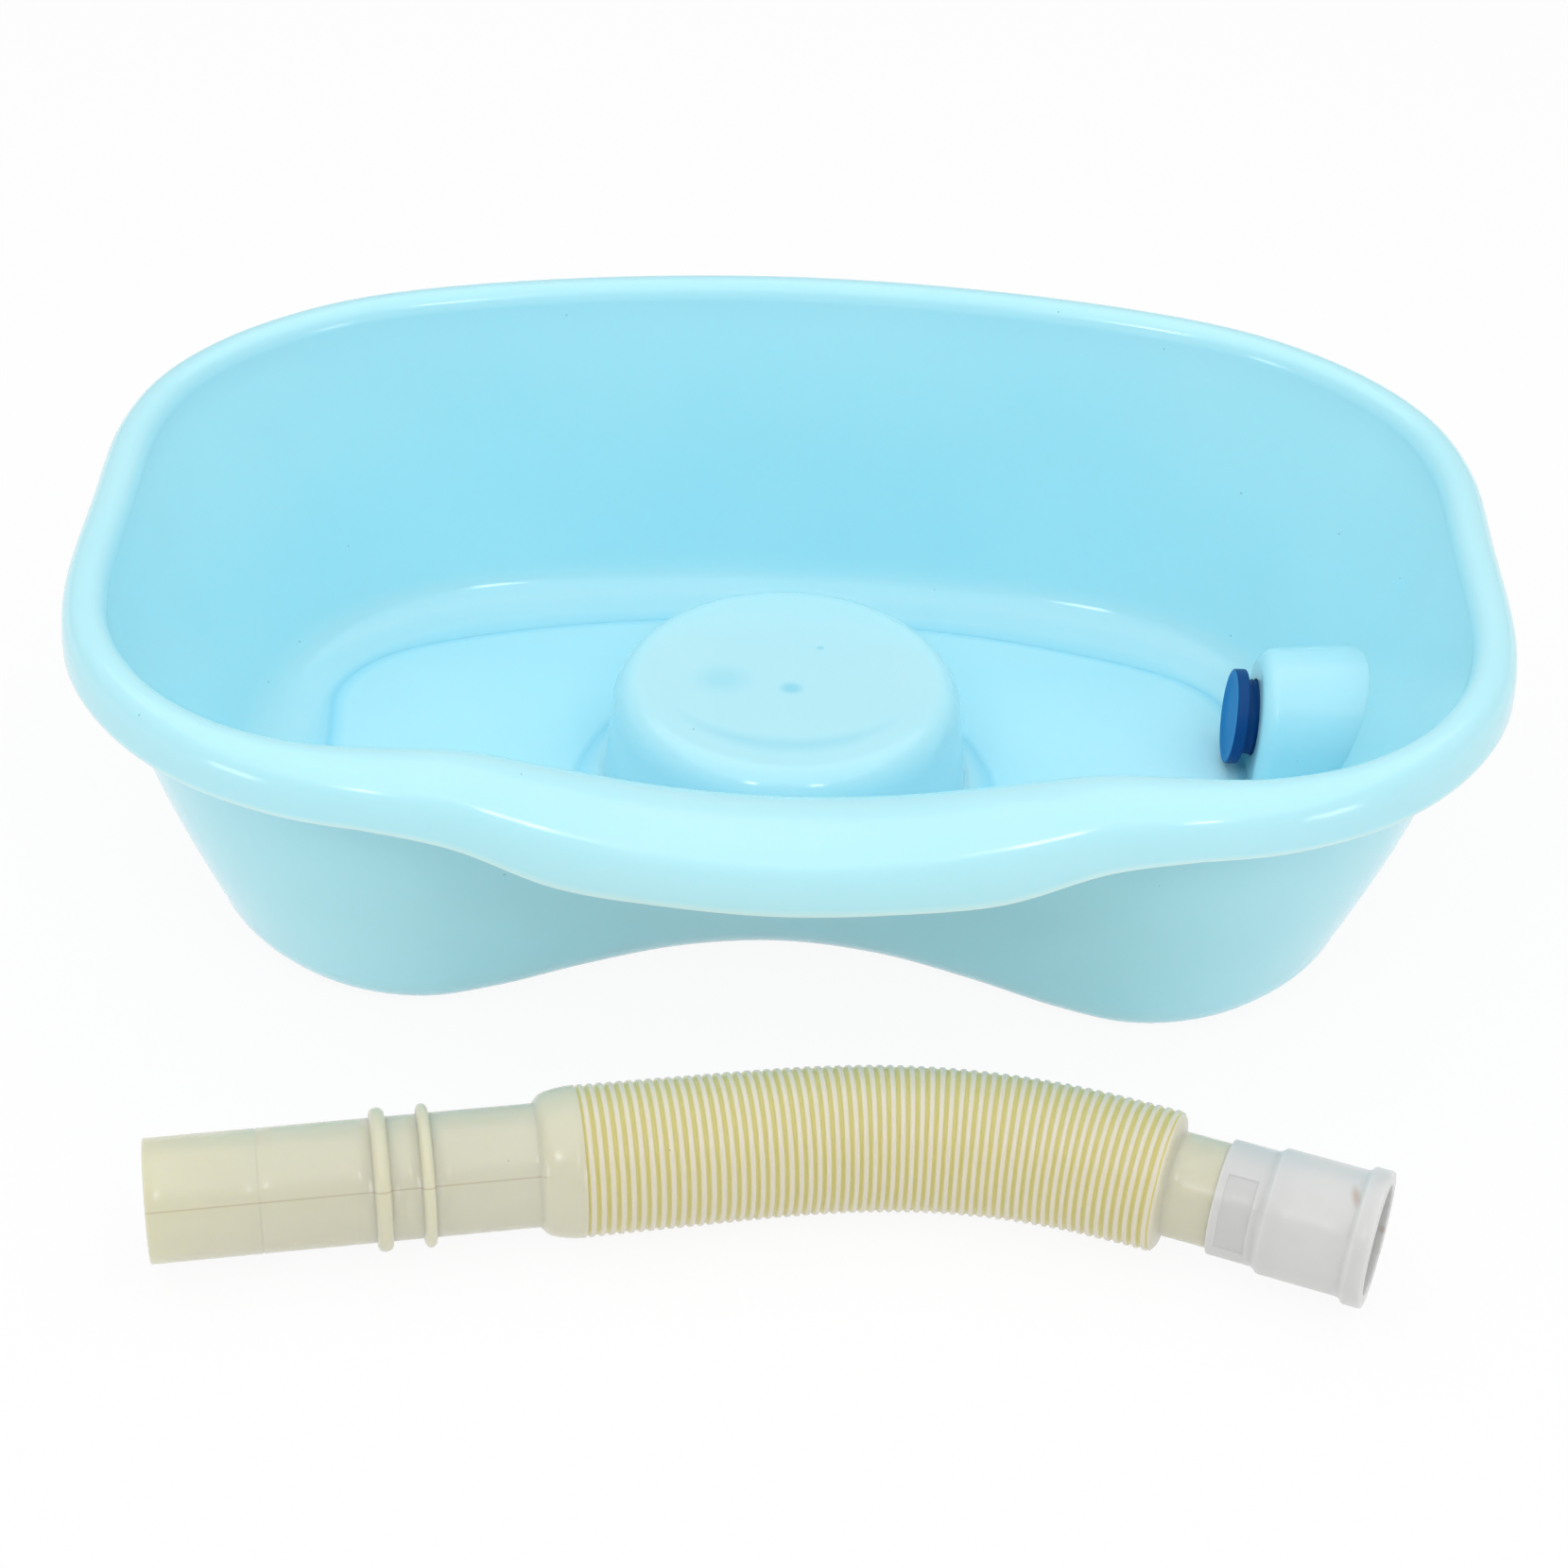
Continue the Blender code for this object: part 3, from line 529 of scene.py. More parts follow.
def extrude_ring(piece, order, points):
    """Extrudes the selected loop of edges and moves each new point to its place in the ring.

    order says which place in the ring each selected point has, by the point's index.
    """
    bpy.ops.mesh.extrude_edges_move()
    skin = bmesh.from_edit_mesh(piece.data)
    skin.verts.ensure_lookup_table()
    fresh = {}
    for vert in [vert for vert in skin.verts if vert.select]:
        for edge in vert.link_edges:
            neighbour = edge.other_vert(vert)
            if neighbour.index in order and not neighbour.select:
                fresh[vert.index] = order[neighbour.index]
    for index, place in fresh.items():
        skin.verts[index].co = points[place]
    bmesh.update_edit_mesh(piece.data)
    return fresh


water, order = start_ring("basin", rings[0])
for ring in rings[1:]:
    order = extrude_ring(water, order, ring)
bpy.ops.mesh.edge_face_add()
bpy.ops.mesh.poke()
bpy.ops.mesh.select_all(action="SELECT")
bpy.ops.mesh.normals_make_consistent(inside=False)
bpy.ops.object.mode_set(mode="OBJECT")
print(f"Water solid: {len(water.data.polygons)} faces")

# %% [markdown]
# ## The outlet housing
#
# At the right end an arched housing stands on the floor and leans into the end wall. The hose pushes onto a
# spigot inside it. The arch is a cylinder cut in half, its open lower edge drawn down past the floor, and
# its inner edge rounded by a bevel. Taking it away from the water leaves its imprint in the water's skin.

# %% Outlet housing
OUTLET_Y = 0.031
OUTLET_HEIGHT = 0.024
HOUSING_FACE_X = BASE_LENGTH / 2 - 0.025
HOUSING_RADIUS = 0.026
HOUSING_EDGE_RADIUS = 0.006
HOUSING_LEAN = 0.035
HOUSING_TAPER = 0.075
HOUSING_END_X = 0.262
HOUSING_BOTTOM = -0.010
ARCH_POINTS = 96
TOUCH = 0.00001


def select_edges(piece, wanted):
    """In edit mode, selects just the edges for which wanted(edge) is true."""
    skin = bmesh.from_edit_mesh(piece.data)
    for face in skin.faces:
        face.select = False
    for edge in skin.edges:
        edge.select = wanted(edge)
    skin.select_flush_mode()
    bmesh.update_edit_mesh(piece.data)


def apply_modifiers(piece):
    leave_nothing_selected()
    bpy.context.view_layer.objects.active = piece
    piece.select_set(True)
    for modifier in list(piece.modifiers):
        bpy.ops.object.modifier_apply(modifier=modifier.name)


def cut_or_join(piece, operation, other):
    """Boolean with another solid, which is used up."""
    modifier = piece.modifiers.new(operation.lower(), "BOOLEAN")
    modifier.operation = operation
    modifier.solver = "EXACT"
    modifier.object = other
    apply_modifiers(piece)
    bpy.data.objects.remove(other, do_unlink=True)


def place_in_mesh(piece):
    """Moves the object's place and turn into its mesh, so that the object sits at the origin."""
    leave_nothing_selected()
    bpy.context.view_layer.objects.active = piece
    piece.select_set(True)
    bpy.ops.object.transform_apply(location=True, rotation=True, scale=True)


def cylinder_along_x(name, radius, start_x, end_x):
    leave_nothing_selected()
    bpy.ops.mesh.primitive_cylinder_add(
        vertices=ARCH_POINTS, radius=radius, depth=end_x - start_x,
        location=((start_x + end_x) / 2, OUTLET_Y, OUTLET_HEIGHT), rotation=(0.0, math.pi / 2, 0.0))
    piece = bpy.context.object
    piece.name = piece.data.name = name
    place_in_mesh(piece)
    return piece


housing = cylinder_along_x("housing", HOUSING_RADIUS, HOUSING_FACE_X, HOUSING_END_X)
bpy.ops.object.mode_set(mode="EDIT")
bpy.ops.mesh.select_all(action="SELECT")
bpy.ops.mesh.bisect(plane_co=(0.0, 0.0, OUTLET_HEIGHT), plane_no=(0.0, 0.0, 1.0), clear_inner=True)
bpy.ops.mesh.select_mode(type="EDGE")
select_edges(housing, lambda edge: edge.is_boundary)
bpy.ops.mesh.extrude_edges_move(
    TRANSFORM_OT_translate={"value": (0.0, 0.0, HOUSING_BOTTOM - OUTLET_HEIGHT)})
bpy.ops.mesh.edge_face_add()
bpy.ops.mesh.select_all(action="SELECT")
bpy.ops.mesh.dissolve_limited(angle_limit=math.radians(1.0))
bpy.ops.mesh.normals_make_consistent(inside=False)
skin = bmesh.from_edit_mesh(housing.data)
for vert in skin.verts:
    away = vert.co.x - HOUSING_FACE_X
    if away < TOUCH:
        vert.co.x += HOUSING_LEAN * (vert.co.z - OUTLET_HEIGHT)
    else:
        growth = 1 + HOUSING_TAPER * away / HOUSING_RADIUS
        vert.co.y = OUTLET_Y + growth * (vert.co.y - OUTLET_Y)
        vert.co.z = OUTLET_HEIGHT + growth * max(0.0, vert.co.z - OUTLET_HEIGHT) + min(
            0.0, vert.co.z - OUTLET_HEIGHT)
bmesh.update_edit_mesh(housing.data)
near_face_x = HOUSING_FACE_X + HOUSING_LEAN * HOUSING_RADIUS + TOUCH
select_edges(housing, lambda edge: all(vert.co.x < near_face_x for vert in edge.verts)
             and any(vert.co.z > HOUSING_BOTTOM + TOUCH for vert in edge.verts))
bpy.ops.mesh.bevel(offset=HOUSING_EDGE_RADIUS, segments=8, affect="EDGES", clamp_overlap=False)
bpy.ops.object.mode_set(mode="OBJECT")
cut_or_join(water, "DIFFERENCE", housing)
print(f"Water solid with the housing's imprint: {len(water.data.polygons)} faces")

# %% [markdown]
# ## From water to basin
#
# The lid of the water solid is deleted, and what stays is the inside skin of the basin with the housing in
# it. The open edge at the top of the wall is extruded on over the flange and down to the lip. Turning the
# faces round and adding a Solidify modifier then gives the even wall of an injection moulding, and a small
# bevel rounds the lip. Where narrow faces of the floor meet, the modifier can throw a point far off, so
# each one that is more than three walls away from its own point of the inside skin is put back straight
# under it.

# %% Basin shell
LIP_ROUND = 0.0006
FARTHEST_OFFSET = 3.0

basin = water
leave_nothing_selected()
bpy.context.view_layer.objects.active = basin
basin.select_set(True)
bpy.ops.object.mode_set(mode="EDIT")
skin = bmesh.from_edit_mesh(basin.data)
wall_top = rings[-1]
lid_middle = sum(wall_top, Vector((0.0, 0.0, 0.0))) / len(wall_top)
lid_vert = min(skin.verts, key=lambda vert: (vert.co - lid_middle).length)
bmesh.ops.delete(skin, geom=[lid_vert], context="VERTS")
bmesh.update_edit_mesh(basin.data)
bpy.ops.object.mode_set(mode="OBJECT")
bpy.ops.object.mode_set(mode="EDIT")
bpy.ops.mesh.select_mode(type="EDGE")
select_edges(basin, lambda edge: edge.is_boundary)
skin = bmesh.from_edit_mesh(basin.data)
skin.verts.ensure_lookup_table()
edge_verts = [vert for vert in skin.verts if vert.select]
order = {}
for vert in edge_verts:
    order[vert.index] = min(range(len(wall_top)), key=lambda place: (vert.co - wall_top[place]).length)
print(f"Lid of {len(edge_verts)} points, {len(set(order.values()))} places")

for section in flange_section[1:]:
    half = []
    for point, out, (width, crest, drop) in zip(rim, rim_out, flange):
        place = point - (1 - section.x) * width * out
        half.append(Vector((*place, crest - drop * section.y)))
    order = extrude_ring(basin, order, whole(half))
bpy.ops.mesh.select_all(action="SELECT")
bpy.ops.mesh.normals_make_consistent(inside=False)
skin = bmesh.from_edit_mesh(basin.data)
headrest_top = max(skin.faces, key=lambda face: -face.calc_center_median().xy.length)
if headrest_top.normal.z < 0:
    bpy.ops.mesh.flip_normals()
bpy.ops.object.mode_set(mode="OBJECT")

thickness = basin.modifiers.new("wall", "SOLIDIFY")
thickness.thickness = WALL
thickness.offset = -1.0
thickness.use_even_offset = True
skin_count = len(basin.data.vertices)
apply_modifiers(basin)
thrown = 0
for index in range(skin_count):
    inner, outer = basin.data.vertices[index], basin.data.vertices[index + skin_count]
    if (outer.co - inner.co).length > FARTHEST_OFFSET * WALL:
        outer.co = inner.co - Vector((0.0, 0.0, WALL))
        thrown += 1
print(f"{thrown} of {skin_count} points put back under the skin")
bpy.ops.object.mode_set(mode="EDIT")
lip_height = RIM_HEIGHT - FLANGE_DROP - NECK_LIP_DIP - WALL
select_edges(basin, lambda edge: min(vert.co.z for vert in edge.verts) > lip_height
             and edge.calc_face_angle(0.0) > math.radians(50.0))
bpy.ops.mesh.bevel(offset=LIP_ROUND, segments=3, affect="EDGES", clamp_overlap=False)
# The faces of the bevel stay selected and are marked, and the material paints them paler: a painted
# highlight along the edge of the lip.
skin = bmesh.from_edit_mesh(basin.data)
lip_highlight_mark = skin.verts.layers.float.new("lip")
for face in skin.faces:
    if face.select:
        for vert in face.verts:
            vert[lip_highlight_mark] = 1.0
bmesh.update_edit_mesh(basin.data)
bpy.ops.object.mode_set(mode="OBJECT")
print(f"Basin shell: {len(basin.data.polygons)} faces")

# %% [markdown]
# ## Spigot and drain
#
# The spigot is a short tube on the outer side of the housing's face, for the sleeve of the hose. A cylinder
# is joined on, and a second one makes the drain hole through both. Last, each point near the fine steps in
# the floor gets a value that says how near, so that the material can paint shade there: painted shade for
# the shaded crease of each step.

# %% Spigot and drain
DRAIN_RADIUS = 0.0147
SPIGOT_WALL = 0.003
SPIGOT_END_X = HOUSING_FACE_X + WALL + 0.022
OVERRUN = 0.010
STEP_SHADE_REACH = 0.0030

cut_or_join(basin, "UNION", cylinder_along_x("spigot", DRAIN_RADIUS + SPIGOT_WALL,
                                             HOUSING_FACE_X + WALL / 2, SPIGOT_END_X))
cut_or_join(basin, "DIFFERENCE", cylinder_along_x("drain", DRAIN_RADIUS,
                                                  HOUSING_FACE_X - OVERRUN, SPIGOT_END_X + OVERRUN))
leave_nothing_selected()
basin.select_set(True)
bpy.context.view_layer.objects.active = basin
bpy.ops.object.shade_smooth_by_angle(angle=math.radians(28.0))

nearest = kdtree.KDTree(len(pad_line) + len(field_line))
for index, point in enumerate(pad_line + field_line):
    nearest.insert((point.x, point.y, 0.0), index)
nearest.balance()
# Painted shade: a value for how near each point of the floor lies to a fine step.
step_shade = basin.data.attributes.new("step", "FLOAT", "POINT")
for vert, mark in zip(basin.data.vertices, step_shade.data):
    if vert.co.z < FIELD_HEIGHT + WALL:
        away = nearest.find((vert.co.x, vert.co.y, 0.0))[2]
        mark.value = math.exp(-(away / STEP_SHADE_REACH) ** 2)
print(f"Basin with its spigot: {len(basin.data.polygons)} faces")

# %% [markdown]
# ## Turned pieces
#
# The plug and the sleeve are round about one axis, like a hose fitting turned on a lathe. Each starts as a
# circle, and the circle is extruded from ring to ring along X, at the radius that the profile gives. Where
# the profile comes back through the bore, the last ring is welded to the first.

# %% Turning helper
TURNED_POINTS = 96


def turned_piece(name, profile):
    """Closed turned solid from (distance along X, radius) rows, the axis along X through the origin."""
    def ring_at(along, radius):
        ring = []
        for corner in range(TURNED_POINTS):
            angle = 2 * math.pi * corner / TURNED_POINTS
            ring.append(Vector((along, radius * math.cos(angle), radius * math.sin(angle))))
        return ring

    piece, order = start_ring(name, ring_at(*profile[0]))
    for along, radius in profile[1:]:
        order = extrude_ring(piece, order, ring_at(along, radius))
    if profile[0] == profile[-1]:
        skin = bmesh.from_edit_mesh(piece.data)
        skin.faces.ensure_lookup_table()
        lids = [face for face in skin.faces if len(face.verts) == TURNED_POINTS]
        bmesh.ops.delete(skin, geom=lids, context="FACES_ONLY")
        bmesh.update_edit_mesh(piece.data)
        bpy.ops.mesh.select_all(action="SELECT")
        bpy.ops.mesh.remove_doubles(threshold=TOUCH)
    else:
        bpy.ops.mesh.edge_face_add()
    bpy.ops.mesh.select_all(action="SELECT")
    bpy.ops.mesh.normals_make_consistent(inside=False)
    bpy.ops.object.mode_set(mode="OBJECT")
    return piece


def rounded(along, radius, size, start_turn, sign, steps=4):
    """Quarter-round corner of a profile about a centre, from one turn a quarter further on."""
    rows = []
    for step in range(steps + 1):
        turn = start_turn + sign * math.pi / 2 * step / steps
        rows.append((along + size * math.cos(turn), radius + size * math.sin(turn)))
    return rows


# %% [markdown]
# ## The drain plug
#
# The plug is soft rubber: a broad flange to grip, with a shallow dish in its face, and a ribbed stem that
# seals in the hole. In the photograph it is pushed only part of the way in, so a band of the stem shows as
# a darker line. It also sits a little askew: the soft flange leans back at the top, and the lean fades out
# along the stem.

# %% Drain plug
PLUG_FLANGE_RADIUS = 0.018
PLUG_FLANGE_THICKNESS = 0.0045
PLUG_STEM_LENGTH = 0.014
PLUG_STEM_RADIUS = 0.0140
PLUG_RIB_HEIGHT = 0.0004
PLUG_RIBS = 3
PLUG_BORE_RADIUS = 0.0095
PLUG_BORE_DEPTH = 0.011
PLUG_BACK_X = HOUSING_FACE_X - HOUSING_LEAN * PLUG_FLANGE_RADIUS - 0.004
PLUG_EDGE = 0.0006
PLUG_LEAN = 0.079
PLUG_LEAN_FADE = 0.004

thick = PLUG_FLANGE_THICKNESS
plug_profile = [(0.0012, 0.0008), (0.0012, 0.007), (0.0011, 0.0105), (0.0009, 0.0125), (0.0005, 0.0143),
                (0.0001, 0.0158), (0.0, 0.0165)]
plug_profile += rounded(PLUG_EDGE, PLUG_FLANGE_RADIUS - PLUG_EDGE, PLUG_EDGE, math.pi, -1)
plug_profile += rounded(thick - PLUG_EDGE, PLUG_FLANGE_RADIUS - PLUG_EDGE, PLUG_EDGE, math.pi / 2, -1)
plug_profile += [(thick, PLUG_STEM_RADIUS + 0.0008), (thick + 0.0002, PLUG_STEM_RADIUS + 0.0002),
                 (thick + 0.0008, PLUG_STEM_RADIUS)]
rib_gap = PLUG_STEM_LENGTH / (PLUG_RIBS + 1)
for rib in range(PLUG_RIBS):
    ridge = thick + (rib + 1) * rib_gap
    for along, share in ((-0.9, 0.0), (-0.45, 0.6), (0.0, 1.0), (0.45, 0.6), (0.9, 0.0)):
        plug_profile.append((ridge + along * 0.001, PLUG_STEM_RADIUS + PLUG_RIB_HEIGHT * share))
tip = thick + PLUG_STEM_LENGTH
plug_profile += [(tip - 0.0005, PLUG_STEM_RADIUS), (tip, PLUG_STEM_RADIUS - 0.0005),
                 (tip, PLUG_BORE_RADIUS + 0.0004), (tip - 0.0004, PLUG_BORE_RADIUS),
                 (tip - PLUG_BORE_DEPTH, PLUG_BORE_RADIUS), (tip - PLUG_BORE_DEPTH, 0.0008)]
plug = turned_piece("plug", plug_profile)
for vert in plug.data.vertices:
    fading = min(1.0, max(0.0, (thick + PLUG_LEAN_FADE - vert.co.x) / PLUG_LEAN_FADE))
    vert.co.x += PLUG_LEAN * fading * vert.co.z
plug.location = (PLUG_BACK_X - thick, OUTLET_Y, OUTLET_HEIGHT)
place_in_mesh(plug)
bpy.ops.object.shade_smooth_by_angle(angle=math.radians(35.0))
print(f"Plug: {len(plug.data.polygons)} faces")

# %% [markdown]
# ## The sleeve on the hose's tail
#
# The sleeve joins the hose to the spigot. Its collar grips the tail, a step leads to the wider barrel, and
# the mouth ends in a flared bead. It is moulded in milky white plastic. The collar has a shallow window in
# its side, which is made by selecting some of its faces and insetting them a little inwards.

# %% Hose adapter
COLLAR_INSERT = 0.022
TAIL_GAP = 0.0003
COLLAR_WALL = 0.0014
COLLAR_LENGTH = 0.015
BARREL_RADIUS = 0.0205
STEP_LENGTH = 0.002
FLARE_HEIGHT = 0.0017
FLARE_LENGTH = 0.006
COLLAR_RINGS = (0.17, 0.5, 0.84, 0.97)
WINDOW_TURNS = (math.radians(112.0), math.radians(196.0))
WINDOW_DEPTH = 0.0004
STOP_THICKNESS = 0.0025
SOCKET_DEPTH = 0.0263
SOCKET_RADIUS = DRAIN_RADIUS + SPIGOT_WALL + TAIL_GAP

collar_bore = TAIL_RADIUS + TAIL_GAP
collar_radius = collar_bore + COLLAR_WALL
stop = COLLAR_INSERT + TAIL_GAP
seat = stop + STOP_THICKNESS
total = seat + SOCKET_DEPTH
flare_radius = BARREL_RADIUS + FLARE_HEIGHT
adapter_profile = [(0.0, collar_bore + 0.0002), (0.0, collar_radius - 0.0005)]
adapter_profile += rounded(0.0005, collar_radius - 0.0005, 0.0005, math.pi, -1)[1:]
adapter_profile += [(COLLAR_LENGTH * share, collar_radius) for share in COLLAR_RINGS]
adapter_profile += [(COLLAR_LENGTH + STEP_LENGTH * 0.15, collar_radius + 0.0003),
                    (COLLAR_LENGTH + STEP_LENGTH * 0.5, (collar_radius + BARREL_RADIUS) / 2),
                    (COLLAR_LENGTH + STEP_LENGTH * 0.8, BARREL_RADIUS - 0.0003),
                    (COLLAR_LENGTH + STEP_LENGTH * 1.1, BARREL_RADIUS)]
barrel_end = total - FLARE_LENGTH - STEP_LENGTH
adapter_profile += [(COLLAR_LENGTH + STEP_LENGTH + (barrel_end - COLLAR_LENGTH - STEP_LENGTH) * share,
                     BARREL_RADIUS) for share in (0.33, 0.66, 1.0)]
adapter_profile += [(barrel_end + STEP_LENGTH * 0.4, BARREL_RADIUS + FLARE_HEIGHT * 0.25),
                    (barrel_end + STEP_LENGTH * 0.8, BARREL_RADIUS + FLARE_HEIGHT * 0.8),
                    (barrel_end + STEP_LENGTH * 1.1, flare_radius)]
adapter_profile += rounded(total - 0.0008, flare_radius - 0.0008, 0.0008, math.pi / 2, -1)
adapter_profile += [(total, SOCKET_RADIUS + 0.0004), (total - 0.0004, SOCKET_RADIUS), (seat, SOCKET_RADIUS),
                    (seat, DRAIN_RADIUS), (stop, DRAIN_RADIUS), (stop, collar_bore), (0.0002, collar_bore),
                    adapter_profile[0]]
adapter = turned_piece("adapter_sleeve", adapter_profile)

bpy.ops.object.mode_set(mode="EDIT")
bpy.ops.mesh.select_mode(type="FACE")
skin = bmesh.from_edit_mesh(adapter.data)
for face in skin.faces:
    middle = face.calc_center_median()
    turn = math.atan2(middle.z, middle.y) % (2 * math.pi)
    face.select = (COLLAR_RINGS[0] < middle.x / COLLAR_LENGTH < COLLAR_RINGS[2]
                   and WINDOW_TURNS[0] < turn < WINDOW_TURNS[1]
                   and middle.yz.length > collar_bore + COLLAR_WALL / 2)
bmesh.update_edit_mesh(adapter.data)
bpy.ops.mesh.inset(thickness=WINDOW_DEPTH, depth=-WINDOW_DEPTH)
bpy.ops.object.mode_set(mode="OBJECT")
tail_end, tail_side = route_frame(HOSE_LENGTH)
tail_run = Vector((tail_side.y, -tail_side.x, 0.0))
adapter.rotation_euler = (0.0, 0.0, math.atan2(tail_run.y, tail_run.x))
adapter.location = tail_end - COLLAR_INSERT * tail_run
place_in_mesh(adapter)
bpy.ops.object.shade_smooth_by_angle(angle=math.radians(35.0))
print(f"Sleeve: {len(adapter.data.polygons)} faces, heading {tail_run.x:.3f}, {tail_run.y:.3f}")

# %% [markdown]
# ## Effects that the plastics share
#
# Moulded plastic is never perfectly even. Four effects are used by several finishes here, so each is a node
# group: a very fine surface grain from the mould, a slow change of tone where the plastic is a little
# thicker or cleaner, a few specks of dust under the skin, and one soft round spot at a given place. The
# groups give out only values, and each material decides what to do with them.

# %% Shared node groups
def new_group(name, inputs, outputs):
    """Empty shader node group with float sockets of the given names and default values."""
    group = bpy.data.node_groups.new(name, "ShaderNodeTree")
    for socket_name, value in inputs:
        socket = group.interface.new_socket(name=socket_name, in_out="INPUT", socket_type="NodeSocketFloat")
        socket.default_value = value
    for socket_name in outputs:
        group.interface.new_socket(name=socket_name, in_out="OUTPUT", socket_type="NodeSocketFloat")
    entry = group.nodes.new("NodeGroupInput")
    leave = group.nodes.new("NodeGroupOutput")
    return group, entry, leave


def noise_node(nodes, links, coordinates, scale, detail=3.0, roughness=0.55):
    noise = nodes.new("ShaderNodeTexNoise")
    noise.inputs["Scale"].default_value = scale
    noise.inputs["Detail"].default_value = detail
    noise.inputs["Roughness"].default_value = roughness
    links.new(coordinates, noise.inputs["Vector"])
    return noise


def spread(nodes, links, value, low, high, new_low=0.0, new_high=1.0):
    """Map Range: the part of value between low and high, drawn out to new_low and new_high."""
    node = nodes.new("ShaderNodeMapRange")
    node.clamp = True
    for socket, number in (("From Min", low), ("From Max", high), ("To Min", new_low), ("To Max", new_high)):
        node.inputs[socket].default_value = number
    links.new(value, node.inputs["Value"])
    return node.outputs["Result"]


def maths(nodes, links, operation, first, second=None):
    """Output of a Math node; each value is a number or a socket."""
    node = nodes.new("ShaderNodeMath")
    node.operation = operation
    for socket, value in zip(node.inputs, (first, second)):
        if isinstance(value, float):
            socket.default_value = value
        elif value is not None:
            links.new(value, socket)
    return node.outputs["Value"]


grain_group, entry, leave = new_group("mould_grain", [("Scale", 900.0)], ["Height"])
nodes, links = grain_group.nodes, grain_group.links
place = nodes.new("ShaderNodeTexCoord")
fine = noise_node(nodes, links, place.outputs["Object"], 900.0, 2.0)
links.new(entry.outputs["Scale"], fine.inputs["Scale"])
links.new(fine.outputs["Fac"], leave.inputs["Height"])

tone_group, entry, leave = new_group("slow_tone", [("Scale", 9.0), ("Contrast", 1.0)], ["Tone"])
nodes, links = tone_group.nodes, tone_group.links
place = nodes.new("ShaderNodeTexCoord")
slow = noise_node(nodes, links, place.outputs["Object"], 9.0, 2.0)
links.new(entry.outputs["Scale"], slow.inputs["Scale"])
stretched = spread(nodes, links, slow.outputs["Fac"], 0.3, 0.7)
contrasted = maths(nodes, links, "MULTIPLY", stretched, entry.outputs["Contrast"])
links.new(contrasted, leave.inputs["Tone"])

speck_group, entry, leave = new_group("dust_specks", [("Scale", 120.0), ("Size", 0.05)], ["Mask"])
nodes, links = speck_group.nodes, speck_group.links
place = nodes.new("ShaderNodeTexCoord")
cells = nodes.new("ShaderNodeTexVoronoi")
links.new(place.outputs["Object"], cells.inputs["Vector"])
links.new(entry.outputs["Scale"], cells.inputs["Scale"])
chance = nodes.new("ShaderNodeSeparateColor")
links.new(cells.outputs["Color"], chance.inputs["Color"])
picked = spread(nodes, links, chance.outputs["Red"], 0.90, 0.91)
near = maths(nodes, links, "LESS_THAN", cells.outputs["Distance"], entry.outputs["Size"])
links.new(maths(nodes, links, "MULTIPLY", picked, near), leave.inputs["Mask"])

spot_group, entry, leave = new_group("soft_spot", [("Softness", 0.3)], ["Mask"])
nodes, links = spot_group.nodes, spot_group.links
for socket_name in ("Centre", "Size"):
    spot_group.interface.new_socket(name=socket_name, in_out="INPUT", socket_type="NodeSocketVector")
place = nodes.new("ShaderNodeTexCoord")
offset = nodes.new("ShaderNodeVectorMath")
offset.operation = "SUBTRACT"
links.new(place.outputs["Object"], offset.inputs[0])
links.new(entry.outputs["Centre"], offset.inputs[1])
scaled = nodes.new("ShaderNodeVectorMath")
scaled.operation = "DIVIDE"
links.new(offset.outputs["Vector"], scaled.inputs[0])
links.new(entry.outputs["Size"], scaled.inputs[1])
length = nodes.new("ShaderNodeVectorMath")
length.operation = "LENGTH"
links.new(scaled.outputs["Vector"], length.inputs[0])
edge = nodes.new("ShaderNodeMapRange")
edge.interpolation_type = "SMOOTHSTEP"
inner_edge = maths(nodes, links, "SUBTRACT", 1.0, entry.outputs["Softness"])
links.new(length.outputs["Value"], edge.inputs["Value"])
links.new(inner_edge, edge.inputs["From Min"])
edge.inputs["From Max"].default_value = 1.0
edge.inputs["To Min"].default_value = 1.0
edge.inputs["To Max"].default_value = 0.0
links.new(edge.outputs["Result"], leave.inputs["Mask"])
print("Node groups:", ", ".join(group.name for group in (grain_group, tone_group, speck_group, spot_group)))

# %% [markdown]
# ## Materials
#
# Colours are easiest to read off a picture as red, green and blue from 0 to 255, but a shader wants linear
# values, so one helper turns the first into the second. A second helper makes a plastic with the shared
# effects in it.

# %% Plastic helper
LIGHT_REACH = 0.004


def colour(red, green, blue):
    """Linear colour with alpha from the 0 to 255 values that a picture shows."""
    def linear(value):
        share = value / 255
        return share / 12.92 if share <= 0.04045 else ((share + 0.055) / 1.055) ** 2.4

    return (linear(red), linear(green), linear(blue), 1.0)


def mix_colours(nodes, links, factor, first, second):
    """Colour that goes from first to second as factor goes from 0 to 1; each is a value or a socket."""
    node = nodes.new("ShaderNodeMix")
    node.data_type = "RGBA"
    if isinstance(factor, float):
        node.inputs["Factor"].default_value = factor
    else:
        links.new(factor, node.inputs["Factor"])
    for socket, value in ((node.inputs[6], first), (node.inputs[7], second)):
        if isinstance(value, tuple):
            socket.default_value = value
        else:
            links.new(value, socket)
    return node.outputs[2]


